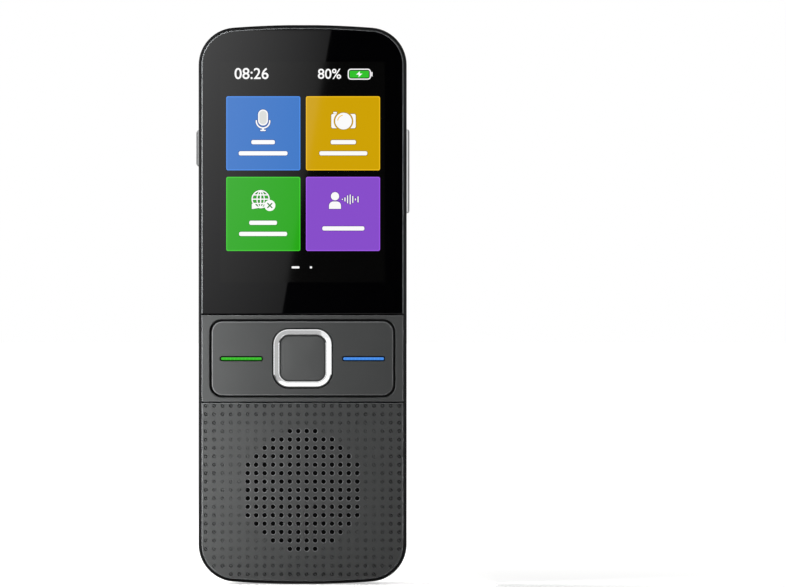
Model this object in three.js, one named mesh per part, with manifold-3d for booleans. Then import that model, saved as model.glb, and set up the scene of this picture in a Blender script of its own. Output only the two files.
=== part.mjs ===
// A handheld voice translator: a slim bar with a touch screen, a rocking key plate, a loudspeaker
// grille and a camera on its back. Every physical piece is its own mesh.
// Units are millimetres. +Z runs up the bar, the screen faces -Y, and +X is to the right of the screen.
// The origin is under the middle of the bar, level with the lowest point of its bottom end.
import * as THREE from "three";
import { mergeVertices } from "three/addons/utils/BufferGeometryUtils.js";
import Module from "manifold-3d";

const wasm = await Module();
wasm.setup();

// Outline seen from the front
const bodyWidth = 49.5;
const glassLength = 68.85;
const keyZoneLength = 20.85;
const grilleZoneLength = 43.3;
const cornerRadius = 8.9;
const endArcRadius = 213;

// Side band of the front housing
const sideWall = 1.6;
const frontInset = 0.7;
const frontRoundDepth = 1.4;
const rearInset = 0.95;
const rearRoundDepth = 1.2;
const lipSetback = 0.1;
const ledgeReach = 1.5;
const ribWidth = 1.2;

// Front plates, which share one thickness
const frontThickness = 1.1;
const edgeChamfer = 0.3;
const seamGap = 0.3;

// Clearances
const fit = 0.05;
const bondLine = 0.1;
const slidingFit = 0.2;
const overrun = 1;

// Display module behind the glass
const activeSideMargin = 5.2;
const activeTopMargin = 8.8;
const activeBottomMargin = 7.65;
const displayThickness = 2;
const displaySideBorder = 1.8;
const displayTopBorder = 1.4;
const displayBottomBorder = 5;
const displayCornerRadius = 0.8;
const flexWidth = 16;
const flexThickness = 0.2;
const flexDrop = 0.6;
const flexRun = 4;
const flexPlugLength = 2.2;
const flexPlugHeight = 0.4;

// Web across the front housing
const webThickness = 0.8;
const webHoleClearance = 0.5;

// Key plate and its light bars
const plateSideMargin = 2.7;
const plateEndMargin = 1.15;
const plateCornerRadius = 3;
const plateGap = 0.4;
const plateDepth = 2.1;
const plateFlangeThickness = 0.4;
const plateFlangeReach = 0.7;
const pivotRadius = 0.4;
const pivotReach = 0.9;
const pivotClearance = 0.15;
const barInnerMargin = 2.25;
const barOuterMargin = 1.95;
const barSlotHeight = 1.25;
const barGap = 0.2;
const barFlangeThickness = 0.25;
const barFlangeReach = 0.5;

// Home key in the middle of the key plate
const ringWidth = 14.2;
const ringBand = 1.5;
const ringGap = 0.18;
const ringCornerRadius = 3.8;
const ringRise = 0.3;
const ringDepth = 1.6;
const ringBevel = 0.35;
const legRadius = 0.45;
const legClearance = 0.2;
const homeRise = 0.1;
const homeGap = 0.22;
const homeFlangeThickness = 0.4;
const homeFlangeReach = 0.5;
const homeFlangeCornerShare = 0.68;

// Rubber membrane, dome switches and lamps under the keys
const membraneThickness = 0.3;
const membraneMargin = 1.4;
const membraneCornerRadius = 1.5;
const padRadius = 2;
const padHeight = 0.4;
const nubRadius = 1.3;
const keyNubInset = 8.6;
const keyNubDrop = 5.2;
const domeRadius = 2;
const domeHeight = 0.3;
const lampLength = 1.6;
const lampWidth = 0.8;
const lampHeight = 0.6;

// Loudspeaker and its grille
const holePitch = 2;
const holeDiameter = 1.06;
const holeFieldRadius = 14.6;
const speakerRise = 0.8;
const speakerRadius = 15;
const speakerHeight = 2.9;
const speakerRim = 1.8;
const speakerRimHeight = 0.8;
const basketWall = 0.6;
const magnetRadius = 7;
const magnetHeight = 1.3;
const coneThickness = 0.2;
const coneDip = 0.6;
const gasketThickness = 0.5;
const gasketWidth = 1.8;
const clothThickness = 0.25;
const clothMargin = 0.4;

// Main circuit board and what is on it
const boardThickness = 0.8;
const boardSideMargin = 2.65;
const boardEndMargin = 1;
const shieldHeight = 1.6;
const shieldLength = 14;
const shieldSplit = 1.5;
const shieldSideMargin = 8.5;
const processorShieldWidth = 15.5;
const shieldCornerRadius = 0.8;
const usbWidth = 8.95;
const usbHeight = 3.2;
const usbLength = 7.35;
const usbWall = 0.3;
const usbRecess = 0.35;
const usbSink = 0.6;
const usbTongueWidth = 6.7;
const usbTongueHeight = 0.7;
const usbTongueSetback = 0.6;
const usbBackWall = 0.8;
const microphoneX = 9;
const microphoneWidth = 3.4;
const microphoneLength = 3;
const microphoneHeight = 1.1;
const microphoneRise = 4.6;
const microphoneHoleRadius = 0.5;

// Side buttons and their switches
const buttonHeight = 2.3;
const buttonProud = 0.65;
const buttonFlangeGap = 0.45;
const buttonFlangeThickness = 0.5;
const buttonFlangeReach = 0.8;
const powerButtonLength = 8.6;
const powerButtonDrop = 29.2;
const volumeRockerLength = 20;
const volumeRockerDrop = 34.7;
const switchLength = 4;
const switchDepth = 2.2;
const switchHeight = 1.6;
const plungerLength = 1.6;
const plungerReach = 0.5;
const switchGap = 0.45;
const volumeSwitchOffset = 6;

// Battery in its bay
const batterySideMargin = 6.25;
const batteryLength = 56;
const batteryThickness = 4.9;
const batteryEdgeRadius = 1.4;
const batteryDrop = 2.6;
const batteryPadThickness = 0.25;
const batteryPadMargin = 3;
const contactWidth = 10;
const contactLength = 1.9;
const contactHeight = 3;
const contactBlades = 3;
const bayClearance = 0.3;
const bayWall = 0.8;
const bayWallDrop = 1.6;

// Rear chassis and its screws
const chassisInset = 2.5;
const chassisThickness = 0.8;
const chassisDrop = 0.1;
const bossRadius = 1.6;
const bossInset = 7.25;
const bossEndInset = 8;
const bossMidInset = 8.75;
const bossMidRise = 0.6;
const boardHoleClearance = 0.3;
const screwHeadRadius = 1.35;
const screwHeadHeight = 0.6;
const screwRadius = 0.75;
const screwLength = 4;
const screwSocketRadius = 0.55;
const screwSocketDepth = 0.35;
const screwClearance = 0.12;

// Rear covers
const rearWall = 1.15;
const rearEdgeWall = 1.1;
const batteryGap = 0.35;
const crownRise = 3.6;
const crownReach = 7.6;
const crownCornerShare = 0.72;
const upperCoverLength = 41.4;
const rearSeamGap = 0.4;
const tongueLength = 8;
const tongueThickness = 0.5;
const tongueDepth = 1;
const tongueRoot = 1;
const tongueInset = 1.75;
const tonguePlaceShares = [0.24, 0.52, 0.8];
const pryNotchWidth = 8;
const pryNotchDepth = 0.5;
const pryNotchX = 13;

// Camera and lamp in the upper rear cover
const cameraDrop = 12.5;
const cameraDiscRadius = 6.9;
const bumpRise = 0.9;
const collarReach = 1.1;
const collarRise = 0.65;
const discFlangeReach = 0.7;
const discFlangeThickness = 0.5;
const lensSpacing = 4.8;
const lensRingRadius = 1.73;
const lensRadius = 0.5;
const lensRecess = 0.12;
const flashRadius = 1.5;
const moduleWidth = 7.2;
const moduleGap = 0.3;
const barrelRadius = 2.6;
const barrelLength = 1;
const flashBoardWidth = 4.4;
const flashBoardLength = 5;
const flashBoardThickness = 0.6;
const flashLampWidth = 1.8;
const flashLampHeight = 0.45;
const cameraFlexWidth = 4;
const cameraFlexLength = 3.6;
const antennaGap = 2.85;
const antennaLength = 14;
const antennaThickness = 0.2;
const antennaInset = 7.5;
const antennaDrop = 11;

// How finely round shapes are divided
const cornerSteps = 6;
const endSteps = 5;
const roundSteps = 4;
const crownSteps = 6;
const circleSteps = 24;
const speakerSteps = 28;
const holeSteps = 6;
const smallCornerSteps = 4;

// Places along the bar, measured up from its bottom end
const bodyLength = glassLength + keyZoneLength + grilleZoneLength;
const glassBottom = bodyLength - glassLength;
const grilleTop = grilleZoneLength;
const keyCentre = (glassBottom + grilleTop) / 2;
const speakerCentre = grilleZoneLength / 2 + speakerRise;
const cameraCentre = bodyLength - cameraDrop;
const batteryCoverLength = bodyLength - upperCoverLength;
const batteryTop = batteryCoverLength - batteryDrop;
const batteryCentre = batteryTop - batteryLength / 2;

// Depths, measured back from the front face of the glass
const displayFront = frontThickness + bondLine;
const webFront = displayFront + displayThickness + bondLine;
const webBack = webFront + webThickness;
const clothFront = frontThickness + fit;
const gasketFront = clothFront + clothThickness + fit;
const speakerFront = gasketFront + gasketThickness + fit;
const boardFront = speakerFront + speakerHeight + fit;
const boardBack = boardFront + boardThickness;
const boardMiddle = (boardFront + boardBack) / 2;
const batteryPadFront = boardBack + fit;
const batteryFront = batteryPadFront + batteryPadThickness + fit;
const batteryBack = batteryFront + batteryThickness;
const bodyDepth = batteryBack + batteryGap + rearWall;
const coverInside = bodyDepth - rearWall;
const rimDepth = bodyDepth - crownRise;
const chassisFront = rimDepth - chassisDrop;
const chassisBack = chassisFront + chassisThickness;
const totalDepth = ringRise + bodyDepth + bumpRise;

// Half widths that several pieces share
const halfWidth = bodyWidth / 2;
const batteryWidth = bodyWidth - 2 * batterySideMargin;
const shieldSpan = bodyWidth - 2 * shieldSideMargin;
const panelInset = frontInset + fit;
const plateHoleWidth = bodyWidth - 2 * plateSideMargin;
const plateHoleLength = keyZoneLength - 2 * plateEndMargin;
const plateWidth = plateHoleWidth - 2 * plateGap;
const plateLength = plateHoleLength - 2 * plateGap;
const barStart = ringWidth / 2 + barInnerMargin;
const barEnd = plateWidth / 2 - barOuterMargin;
const barSlotLength = barEnd - barStart;
const barCentre = (barStart + barEnd) / 2;
const lampSide = lensSpacing / 2;

// Finishes
function finish(color, roughness, metalness = 0, extra = {}) {
  return new THREE.MeshStandardMaterial({ color, roughness, metalness, ...extra });
}

const blackGlass = finish(0x070809, 0.06);
const blackHousing = finish(0x101112, 0.42);
const charcoalPanel = finish(0x4b4d4d, 0.45, 0.1);
const charcoalCover = finish(0x383939, 0.5);
const brightMetal = finish(0xd8d9d8, 0.18, 1);
const satinMetal = finish(0xb9bab8, 0.3, 1);
const greenLens = finish(0x3fb52e, 0.35, 0, { emissive: 0x1c5a14 });
const blueLens = finish(0x3f8ae6, 0.35, 0, { emissive: 0x173f70 });
const displayGlass = finish(0x15171a, 0.2);
const amberFilm = finish(0xb0702a, 0.4);
const siliconeRubber = finish(0x9a9c98, 0.7);
const boardResin = finish(0x14503a, 0.5);
const tinPlate = finish(0xa8aaac, 0.35, 0.9);
const blackPlastic = finish(0x1a1a1b, 0.55);
const speakerCloth = finish(0x0a0a0a, 0.95);
const foam = finish(0x202020, 0.95);
const ferrite = finish(0x3a3a3c, 0.6, 0.4);
const batteryFoil = finish(0x2b3036, 0.45, 0.2);
const goldPlate = finish(0xc9a24a, 0.3, 1);
const greyChassis = finish(0x2a2b2c, 0.6);
const lensGrey = finish(0x5a5b5c, 0.35, 0.3);
const lensBlack = finish(0x020203, 0.05);
const flashYellow = finish(0xf2e67a, 0.4);
const lampWhite = finish(0xe9e6d0, 0.4);

// Solids: geometry goes in and out of the boolean library through these
function solidOf(geometry) {
  const bare = geometry.index ? geometry.toNonIndexed() : geometry.clone();
  bare.deleteAttribute("normal");
  bare.deleteAttribute("uv");
  const merged = mergeVertices(bare);
  return new wasm.Manifold(
    new wasm.Mesh({
      numProp: 3,
      vertProperties: merged.getAttribute("position").array,
      triVerts: new Uint32Array(merged.index.array),
    }),
  );
}

function geometryOf(solid) {
  const mesh = solid.getMesh();
  const geometry = new THREE.BufferGeometry();
  geometry.setAttribute("position", new THREE.BufferAttribute(mesh.vertProperties, 3));
  geometry.setIndex(new THREE.BufferAttribute(mesh.triVerts, 1));
  const flat = geometry.toNonIndexed();
  flat.computeVertexNormals();
  return flat;
}

function cut(solid, ...tools) {
  return tools.reduce((left, tool) => left.subtract(tool), solid);
}

function join(solid, ...others) {
  return others.reduce((whole, other) => whole.add(other), solid);
}

function moved(geometry, x, depth, z) {
  return geometry.clone().translate(x, depth, z);
}

// A block between two depths, centred on x and z
function block(width, length, front, back, x, z) {
  const geometry = new THREE.BoxGeometry(width, back - front, length);
  return moved(geometry, x, (front + back) / 2, z);
}

// A round bar between two depths
function rod(radius, front, back, x, z, steps = circleSteps) {
  const geometry = new THREE.CylinderGeometry(radius, radius, back - front, steps);
  return moved(geometry, x, (front + back) / 2, z);
}

function roundedRect(width, length, radius) {
  const w = width / 2;
  const l = length / 2;
  const shape = new THREE.Shape();
  shape.moveTo(w, radius - l);
  shape.absarc(w - radius, l - radius, radius, 0, Math.PI / 2);
  shape.absarc(radius - w, l - radius, radius, Math.PI / 2, Math.PI);
  shape.absarc(radius - w, radius - l, radius, Math.PI, 1.5 * Math.PI);
  shape.absarc(w - radius, radius - l, radius, 1.5 * Math.PI, 2 * Math.PI);
  return shape;
}

// A flat plate: a shape drawn in X and Z, from one depth to another
function plate(shape, front, back, x = 0, z = 0) {
  const geometry = new THREE.ExtrudeGeometry(shape, {
    depth: back - front,
    bevelEnabled: false,
    curveSegments: smallCornerSteps,
  });
  geometry.rotateX(Math.PI / 2);
  return moved(geometry, x, back, z);
}

function roundedPlate(width, length, radius, front, back, x = 0, z = 0) {
  return plate(roundedRect(width, length, radius), front, back, x, z);
}

// A turned piece about an axis that runs back from the face; its profile is radius and depth
function turned(profile, steps = circleSteps) {
  const points = profile.map(([radius, depth]) => new THREE.Vector2(radius, depth));
  return facingOut(new THREE.LatheGeometry(points, steps));
}

// Turns a closed surface's faces outwards, by the sign of the volume that it holds
function facingOut(geometry) {
  const flat = geometry.index ? geometry.toNonIndexed() : geometry;
  const position = flat.getAttribute("position");
  const corner = [new THREE.Vector3(), new THREE.Vector3(), new THREE.Vector3()];
  let volume = 0;
  for (let i = 0; i < position.count; i += 3) {
    corner.forEach((point, k) => point.fromBufferAttribute(position, i + k));
    volume += corner[0].dot(corner[1].clone().cross(corner[2]));
  }
  if (volume > 0) return geometry;
  const turnedRound = new Float32Array(position.array);
  for (let i = 0; i < position.count; i += 3) {
    for (let k = 0; k < 3; k += 1) {
      turnedRound[3 * (i + 1) + k] = position.array[3 * (i + 2) + k];
      turnedRound[3 * (i + 2) + k] = position.array[3 * (i + 1) + k];
    }
  }
  const fixed = new THREE.BufferGeometry();
  fixed.setAttribute("position", new THREE.BufferAttribute(turnedRound, 3));
  fixed.computeVertexNormals();
  return fixed;
}

// The bar's outline, taken in by an inset: straight sides, round corners and slightly arched ends.
// Each corner arc touches the side line and the end arc, at this lean above the horizontal.
function cornerLean(inset, radius) {
  return Math.acos((halfWidth - inset - radius) / (endArcRadius - inset - radius));
}

// The middle flat of each arched end is what the bar can stand on, so it lies on the bar's full length
const endHalfStep = (Math.PI / 2 - cornerLean(0, cornerRadius)) / endSteps;
const arcCentre = bodyLength / 2 - endArcRadius * Math.cos(endHalfStep);

function outline(inset, radius = cornerRadius - inset) {
  const endRadius = endArcRadius - inset;
  const cornerX = halfWidth - inset - radius;
  const cornerZ = arcCentre + Math.sqrt((endRadius - radius) ** 2 - cornerX ** 2);
  const lean = cornerLean(inset, radius);
  const upper = [];
  for (let i = 0; i <= cornerSteps; i += 1) {
    const angle = (lean * i) / cornerSteps;
    upper.push([cornerX + radius * Math.cos(angle), cornerZ + radius * Math.sin(angle)]);
  }
  for (let i = 1; i < endSteps; i += 1) {
    const angle = lean + ((Math.PI - 2 * lean) * i) / endSteps;
    upper.push([endRadius * Math.cos(angle), arcCentre + endRadius * Math.sin(angle)]);
  }
  for (let i = cornerSteps; i >= 0; i -= 1) {
    const angle = (lean * i) / cornerSteps;
    upper.push([-cornerX - radius * Math.cos(angle), cornerZ + radius * Math.sin(angle)]);
  }
  const lower = upper.map(([x, z]) => [-x, -z]);
  return [...upper, ...lower].map(([x, z]) => [x, z + bodyLength / 2]);
}

// Corners tighten faster than the inset grows where the rear covers swell to their crown
function crownOutline(inset) {
  const radius = cornerRadius - rearInset - crownCornerShare * (inset - rearInset);
  return outline(inset, radius);
}

// A skin through rings of equal point counts; capped at both ends, or closed on itself as a band
function skin(rings, depths, closedBand) {
  const count = rings[0].length;
  const points = rings.flatMap((ring, k) => ring.map(([x, z]) => [x, depths[k], z]));
  const faces = [];
  const last = closedBand ? rings.length : rings.length - 1;
  for (let k = 0; k < last; k += 1) {
    const here = k * count;
    const next = ((k + 1) % rings.length) * count;
    for (let i = 0; i < count; i += 1) {
      const j = (i + 1) % count;
      faces.push([here + i, next + i, next + j], [here + i, next + j, here + j]);
    }
  }
  if (!closedBand) {
    const flatRing = (ring) => ring.map(([x, z]) => new THREE.Vector2(x, z));
    const start = THREE.ShapeUtils.triangulateShape(flatRing(rings[0]), []);
    const end = THREE.ShapeUtils.triangulateShape(flatRing(rings[rings.length - 1]), []);
    const offset = (rings.length - 1) * count;
    start.forEach(([a, b, c]) => faces.push([a, b, c]));
    end.forEach(([a, b, c]) => faces.push([offset + a, offset + c, offset + b]));
  }
  const positions = new Float32Array(faces.flat().flatMap((index) => points[index]));
  const geometry = new THREE.BufferGeometry();
  geometry.setAttribute("position", new THREE.BufferAttribute(positions, 3));
  geometry.computeVertexNormals();
  return facingOut(geometry);
}

// A band that follows the outline, from a closed profile of insets and depths
function band(profile) {
  const rings = profile.map(([inset]) => outline(inset));
  const depths = profile.map(([, depth]) => depth);
  return skin(rings, depths, true);
}

// Points on a quarter of an ellipse, from its start to its end, with the start's tangent along depth
function quarterRound(startInset, startDepth, endInset, endDepth, steps) {
  return Array.from({ length: steps + 1 }, (_, k) => {
    const angle = (Math.PI / 2) * (k / steps);
    return [
      startInset + (endInset - startInset) * (1 - Math.cos(angle)),
      startDepth + (endDepth - startDepth) * Math.sin(angle),
    ];
  });
}

const device = new THREE.Group();
device.position.set(0, ringRise - totalDepth / 2, 0);

function addPart(name, geometry, material, group = device) {
  const mesh = new THREE.Mesh(geometry, material);
  mesh.name = name;
  group.add(mesh);
  return mesh;
}

// Where the screws go: two at the bottom, two above the battery bay, two at the top
const bayTop = batteryTop + bayClearance + contactLength + bayClearance + fit;
const bossMidHeight = bayTop + bayWall + bossRadius + bossMidRise;
const bossPlaces = [-1, 1].flatMap((side) => [
  [side * (halfWidth - bossInset), bossEndInset],
  [side * (halfWidth - bossMidInset), bossMidHeight],
  [side * (halfWidth - bossInset), bodyLength - bossEndInset],
]);

// Side buttons: where they stand along the bar and how their inner faces lie
const buttonInnerWall = halfWidth - sideWall;
const flangeOuter = buttonInnerWall - buttonFlangeGap;
const flangeInner = flangeOuter - buttonFlangeThickness;
const plungerFace = flangeInner - switchGap;
const powerCentre = bodyLength - powerButtonDrop;
const volumeCentre = bodyLength - volumeRockerDrop;
const buttonFront = boardMiddle - buttonHeight / 2;
const buttonBack = boardMiddle + buttonHeight / 2;

function buttonOpening(side, length, z) {
  const slot = block(
    2 * overrun + sideWall,
    length + 2 * slidingFit,
    buttonFront - slidingFit,
    buttonBack + slidingFit,
    side * (halfWidth - sideWall / 2),
    z,
  );
  const pocket = block(
    buttonInnerWall - plungerFace,
    length + 2 * buttonFlangeReach + 2 * slidingFit,
    buttonFront - slidingFit,
    buttonBack + slidingFit,
    (side * (buttonInnerWall + plungerFace)) / 2,
    z,
  );
  return [solidOf(slot), solidOf(pocket)];
}

// The front housing is one moulding: side band, ledges, web, ribs and screw bosses
function frontHousing() {
  const ledge = frontThickness + fit;
  const outer = [
    ...quarterRound(0, frontRoundDepth, frontInset, lipSetback, roundSteps).reverse(),
    ...quarterRound(0, rimDepth - rearRoundDepth, rearInset, rimDepth, roundSteps),
  ];
  const inner = [
    [sideWall, rimDepth],
    [sideWall, webBack],
    [frontInset + ledgeReach, webBack],
    [frontInset + ledgeReach, ledge],
    [frontInset, ledge],
  ];
  const sideBand = solidOf(band([...outer, ...inner]));
  const webOutline = outline(frontInset + ledgeReach / 2);
  const web = solidOf(skin([webOutline, webOutline], [webFront, webBack], false));
  const ribSpan = bodyWidth - 2 * (frontInset + ledgeReach / 2);
  const ribs = [glassBottom, grilleTop].map((z) =>
    solidOf(block(ribSpan, ribWidth, ledge, webFront + fit, 0, z)),
  );
  const bosses = bossPlaces.map(([x, z]) =>
    solidOf(rod(bossRadius, webBack - fit, chassisFront - fit, x, z)),
  );
  const pilots = bossPlaces.map(([x, z]) =>
    solidOf(rod(screwRadius + screwClearance, chassisBack - screwLength - fit, chassisBack, x, z)),
  );
  const speakerHole = solidOf(
    rod(speakerRadius + clothMargin + fit, ledge, boardFront, 0, speakerCentre, speakerSteps),
  );
  const nubHoles = nubPlaces.map(([x, z]) =>
    solidOf(rod(nubRadius + webHoleClearance, ledge, boardFront, x, z)),
  );
  const lampWindows = [-1, 1].map((side) =>
    solidOf(
      block(
        lampLength + 2 * webHoleClearance,
        lampWidth + 2 * webHoleClearance,
        ledge,
        boardFront,
        side * barCentre,
        keyCentre,
      ),
    ),
  );
  const flexSlot = solidOf(
    block(
      flexWidth + 2 * webHoleClearance,
      flexDrop + 2 * webHoleClearance,
      webFront - fit,
      boardFront,
      0,
      displayBottom - flexDrop / 2 - fit,
    ),
  );
  const seatLength = pivotReach + plateFlangeReach + slidingFit;
  const pivotSeats = [-1, 1].map((side) =>
    solidOf(
      block(
        2 * (pivotRadius + pivotClearance),
        seatLength,
        ledge - overrun,
        pivotDepth + pivotRadius + pivotClearance,
        0,
        keyCentre + side * (pinLength / 2 + slidingFit - seatLength / 2),
      ),
    ),
  );
  const usbHole = solidOf(usbSleeve(slidingFit, -overrun, usbRecess + usbLength + slidingFit));
  const micHole = new THREE.CylinderGeometry(
    microphoneHoleRadius,
    microphoneHoleRadius,
    microphoneRise + overrun,
    holeSteps * 2,
  );
  micHole.rotateX(Math.PI / 2);
  const micBore = solidOf(
    moved(micHole, microphoneX, boardBack + microphoneHeight / 2, (microphoneRise - overrun) / 2),
  );
  return cut(
    join(sideBand, web, ...ribs, ...bosses),
    ...pilots,
    speakerHole,
    ...nubHoles,
    ...lampWindows,
    flexSlot,
    ...pivotSeats,
    usbHole,
    micBore,
    ...buttonOpening(-1, powerButtonLength, powerCentre),
    ...buttonOpening(1, volumeRockerLength, volumeCentre),
  );
}

// The three front plates are slices of one chamfered slab that fills the side band
function frontSlab() {
  const edge = outline(panelInset);
  const face = outline(panelInset + edgeChamfer);
  return solidOf(
    skin([face, edge, edge], [0, edgeChamfer, frontThickness], false),
  );
}

function slice(solid, low, high) {
  const keep = block(
    bodyWidth + 2 * overrun,
    high - low,
    -overrun,
    bodyDepth + bumpRise + overrun,
    0,
    (low + high) / 2,
  );
  return solid.intersect(solidOf(keep));
}

function touchGlass() {
  return slice(frontSlab(), glassBottom + seamGap / 2, bodyLength + overrun);
}

function keySurround() {
  const strip = slice(frontSlab(), grilleTop + seamGap / 2, glassBottom - seamGap / 2);
  const hole = roundedPlate(
    plateHoleWidth,
    plateHoleLength,
    plateCornerRadius,
    -overrun,
    frontThickness + overrun,
    0,
    keyCentre,
  );
  return cut(strip, solidOf(hole));
}

// Loudspeaker holes lie on a square grid, inside a circle round the speaker's centre
function grilleHolePlaces() {
  const places = [];
  const reach = Math.ceil(holeFieldRadius / holePitch);
  for (let row = -reach; row <= reach; row += 1) {
    for (let column = -reach; column < reach; column += 1) {
      const x = (column + 1 / 2) * holePitch;
      const z = row * holePitch;
      if (Math.hypot(x, z) <= holeFieldRadius) places.push([x, speakerCentre + z]);
    }
  }
  return places;
}

function grillePanel() {
  const panel = slice(frontSlab(), -overrun, grilleTop - seamGap / 2);
  const holes = grilleHolePlaces().map(([x, z]) =>
    solidOf(rod(holeDiameter / 2, -overrun, frontThickness + overrun, x, z, holeSteps)),
  );
  return cut(panel, ...holes);
}

// Display module and the flex that folds from its lower edge through the web to the board
const activeBottom = glassBottom + activeBottomMargin;
const activeTop = bodyLength - activeTopMargin;
const displayBottom = activeBottom - displayBottomBorder;
const displayTop = activeTop + displayTopBorder;
const displayWidth = bodyWidth - 2 * activeSideMargin + 2 * displaySideBorder;

function displayPanel() {
  return roundedPlate(
    displayWidth,
    displayTop - displayBottom,
    displayCornerRadius,
    displayFront,
    displayFront + displayThickness,
    0,
    (displayTop + displayBottom) / 2,
  );
}

function displayFlex() {
  const start = displayBottom - fit;
  const low = start - flexDrop;
  const front = webFront - bondLine - flexThickness;
  const back = boardFront - fit;
  const plugTop = start + flexRun;
  const shape = new THREE.Shape();
  shape.moveTo(start, front);
  shape.lineTo(low, front);
  shape.lineTo(low, back);
  shape.lineTo(plugTop, back);
  shape.lineTo(plugTop, back - flexPlugHeight);
  shape.lineTo(plugTop - flexPlugLength, back - flexPlugHeight);
  shape.lineTo(plugTop - flexPlugLength, back - flexThickness);
  shape.lineTo(low + flexThickness, back - flexThickness);
  shape.lineTo(low + flexThickness, front + flexThickness);
  shape.lineTo(start, front + flexThickness);
  const geometry = new THREE.ExtrudeGeometry(shape, { depth: flexWidth, bevelEnabled: false });
  // The shape is drawn with Z along its first axis and depth along its second
  const turn = new THREE.Matrix4().set(0, 0, 1, 0, 0, 1, 0, 0, 1, 0, 0, 0, 0, 0, 0, 1);
  geometry.applyMatrix4(turn);
  return facingOut(moved(geometry, -flexWidth / 2, 0, 0));
}

// Key plate: rocks left and right on two pins that lie along the bar
const plateFlangeFront = plateDepth - plateFlangeThickness;
const pivotDepth = plateDepth - plateFlangeThickness / 2;
const pinLength = plateLength + 2 * plateFlangeReach + 2 * pivotReach;
const nubPlaces = [
  [keyNubInset - plateWidth / 2, keyCentre - keyNubDrop],
  [plateWidth / 2 - keyNubInset, keyCentre - keyNubDrop],
  [0, keyCentre],
];

function keyPlate() {
  const face = roundedPlate(plateWidth, plateLength, plateCornerRadius - plateGap, 0, plateDepth);
  const flange = roundedPlate(
    plateWidth + 2 * plateFlangeReach,
    plateLength + 2 * plateFlangeReach,
    plateCornerRadius - plateGap + plateFlangeReach,
    plateFlangeFront,
    plateDepth,
  );
  const pin = new THREE.CylinderGeometry(pivotRadius, pivotRadius, pinLength, 2 * holeSteps);
  pin.rotateX(Math.PI / 2);
  const ringHole = roundedPlate(
    ringWidth + 2 * ringGap,
    ringWidth + 2 * ringGap,
    ringCornerRadius + ringGap,
    -overrun,
    plateDepth + overrun,
  );
  const slots = [-1, 1].map((side) =>
    solidOf(
      roundedPlate(
        barSlotLength,
        barSlotHeight,
        barSlotHeight / 2 - fit,
        -overrun,
        plateDepth + overrun,
        side * barCentre,
      ),
    ),
  );
  const body = join(solidOf(face), solidOf(flange), solidOf(moved(pin, 0, pivotDepth, 0)));
  return cut(body, solidOf(ringHole), ...slots);
}

function lightBar() {
  const width = barSlotLength - 2 * barGap;
  const height = barSlotHeight - 2 * barGap;
  const lens = roundedPlate(width, height, height / 2 - fit, fit, plateDepth + fit + barFlangeThickness);
  const flange = block(
    barSlotLength + 2 * barFlangeReach,
    barSlotHeight + 2 * barFlangeReach,
    plateDepth + fit,
    plateDepth + fit + barFlangeThickness,
    0,
    0,
  );
  return join(solidOf(lens), solidOf(flange));
}

// Home key: a bright ring on four legs, and the key that sinks inside it
const ringInner = ringWidth - 2 * ringBand;

function homeRing() {
  const outerBack = roundedPlate(ringWidth, ringWidth, ringCornerRadius, ringBevel - ringRise, ringDepth);
  const outerFace = roundedPlate(
    ringWidth - 2 * ringBevel,
    ringWidth - 2 * ringBevel,
    ringCornerRadius - ringBevel,
    -ringRise,
    ringDepth,
  );
  const hole = roundedPlate(
    ringInner,
    ringInner,
    ringCornerRadius - ringBand,
    -overrun,
    ringDepth + overrun,
  );
  const reach = legReach();
  const corners = [-1, 1].flatMap((side) => [
    [side * reach, reach],
    [side * reach, -reach],
  ]);
  const legs = corners.map(([x, z]) =>
    solidOf(rod(legRadius, ringDepth - fit, webFront - fit, x, z, holeSteps * 2)),
  );
  return join(cut(join(solidOf(outerBack), solidOf(outerFace)), solidOf(hole)), ...legs);
}

// The legs stand in the middle of the ring's band, on its diagonals
function legReach() {
  const cornerCentre = ringWidth / 2 - ringCornerRadius;
  return cornerCentre + (ringCornerRadius - ringBand / 2) * Math.SQRT1_2;
}

function homeButton() {
  const width = ringInner - 2 * homeGap;
  const flangeWidth = ringInner + 2 * homeFlangeReach;
  const radius = ringCornerRadius - ringBand - homeGap;
  const flangeFront = ringDepth + fit;
  const cap = roundedPlate(width, width, radius, -homeRise, flangeFront + homeFlangeThickness);
  const flange = roundedPlate(
    flangeWidth,
    flangeWidth,
    (homeFlangeCornerShare * flangeWidth) / 2,
    flangeFront,
    flangeFront + homeFlangeThickness,
  );
  return join(solidOf(cap), solidOf(flange));
}

// Membrane: pads under the keys, nubs that reach through the web to the dome switches
function keyMembrane() {
  const back = webFront - fit;
  const front = back - membraneThickness;
  const sheet = roundedPlate(
    plateWidth + plateFlangeReach - membraneMargin,
    plateLength + plateFlangeReach - membraneMargin,
    membraneCornerRadius,
    front,
    back,
  );
  const rods = nubPlaces.flatMap(([x, z]) => [
    solidOf(rod(padRadius, front - padHeight, back, x, z - keyCentre)),
    solidOf(rod(nubRadius, front, boardFront - domeHeight - 2 * fit, x, z - keyCentre)),
  ]);
  const reach = legReach();
  const legHoles = [-1, 1].flatMap((side) =>
    [-1, 1].map((end) =>
      solidOf(
        rod(
          legRadius + legClearance,
          front - padHeight,
          back + overrun,
          side * reach,
          end * reach,
          holeSteps * 2,
        ),
      ),
    ),
  );
  return cut(join(solidOf(sheet), ...rods), ...legHoles);
}

function domeSwitch() {
  const back = boardFront - fit;
  return turned([
    [0, back - domeHeight],
    [domeRadius / 2, back - domeHeight],
    [domeRadius, back],
    [0, back],
  ]);
}

function keyLamp() {
  return block(lampLength, lampWidth, boardFront - fit - lampHeight, boardFront - fit, 0, 0);
}

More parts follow.
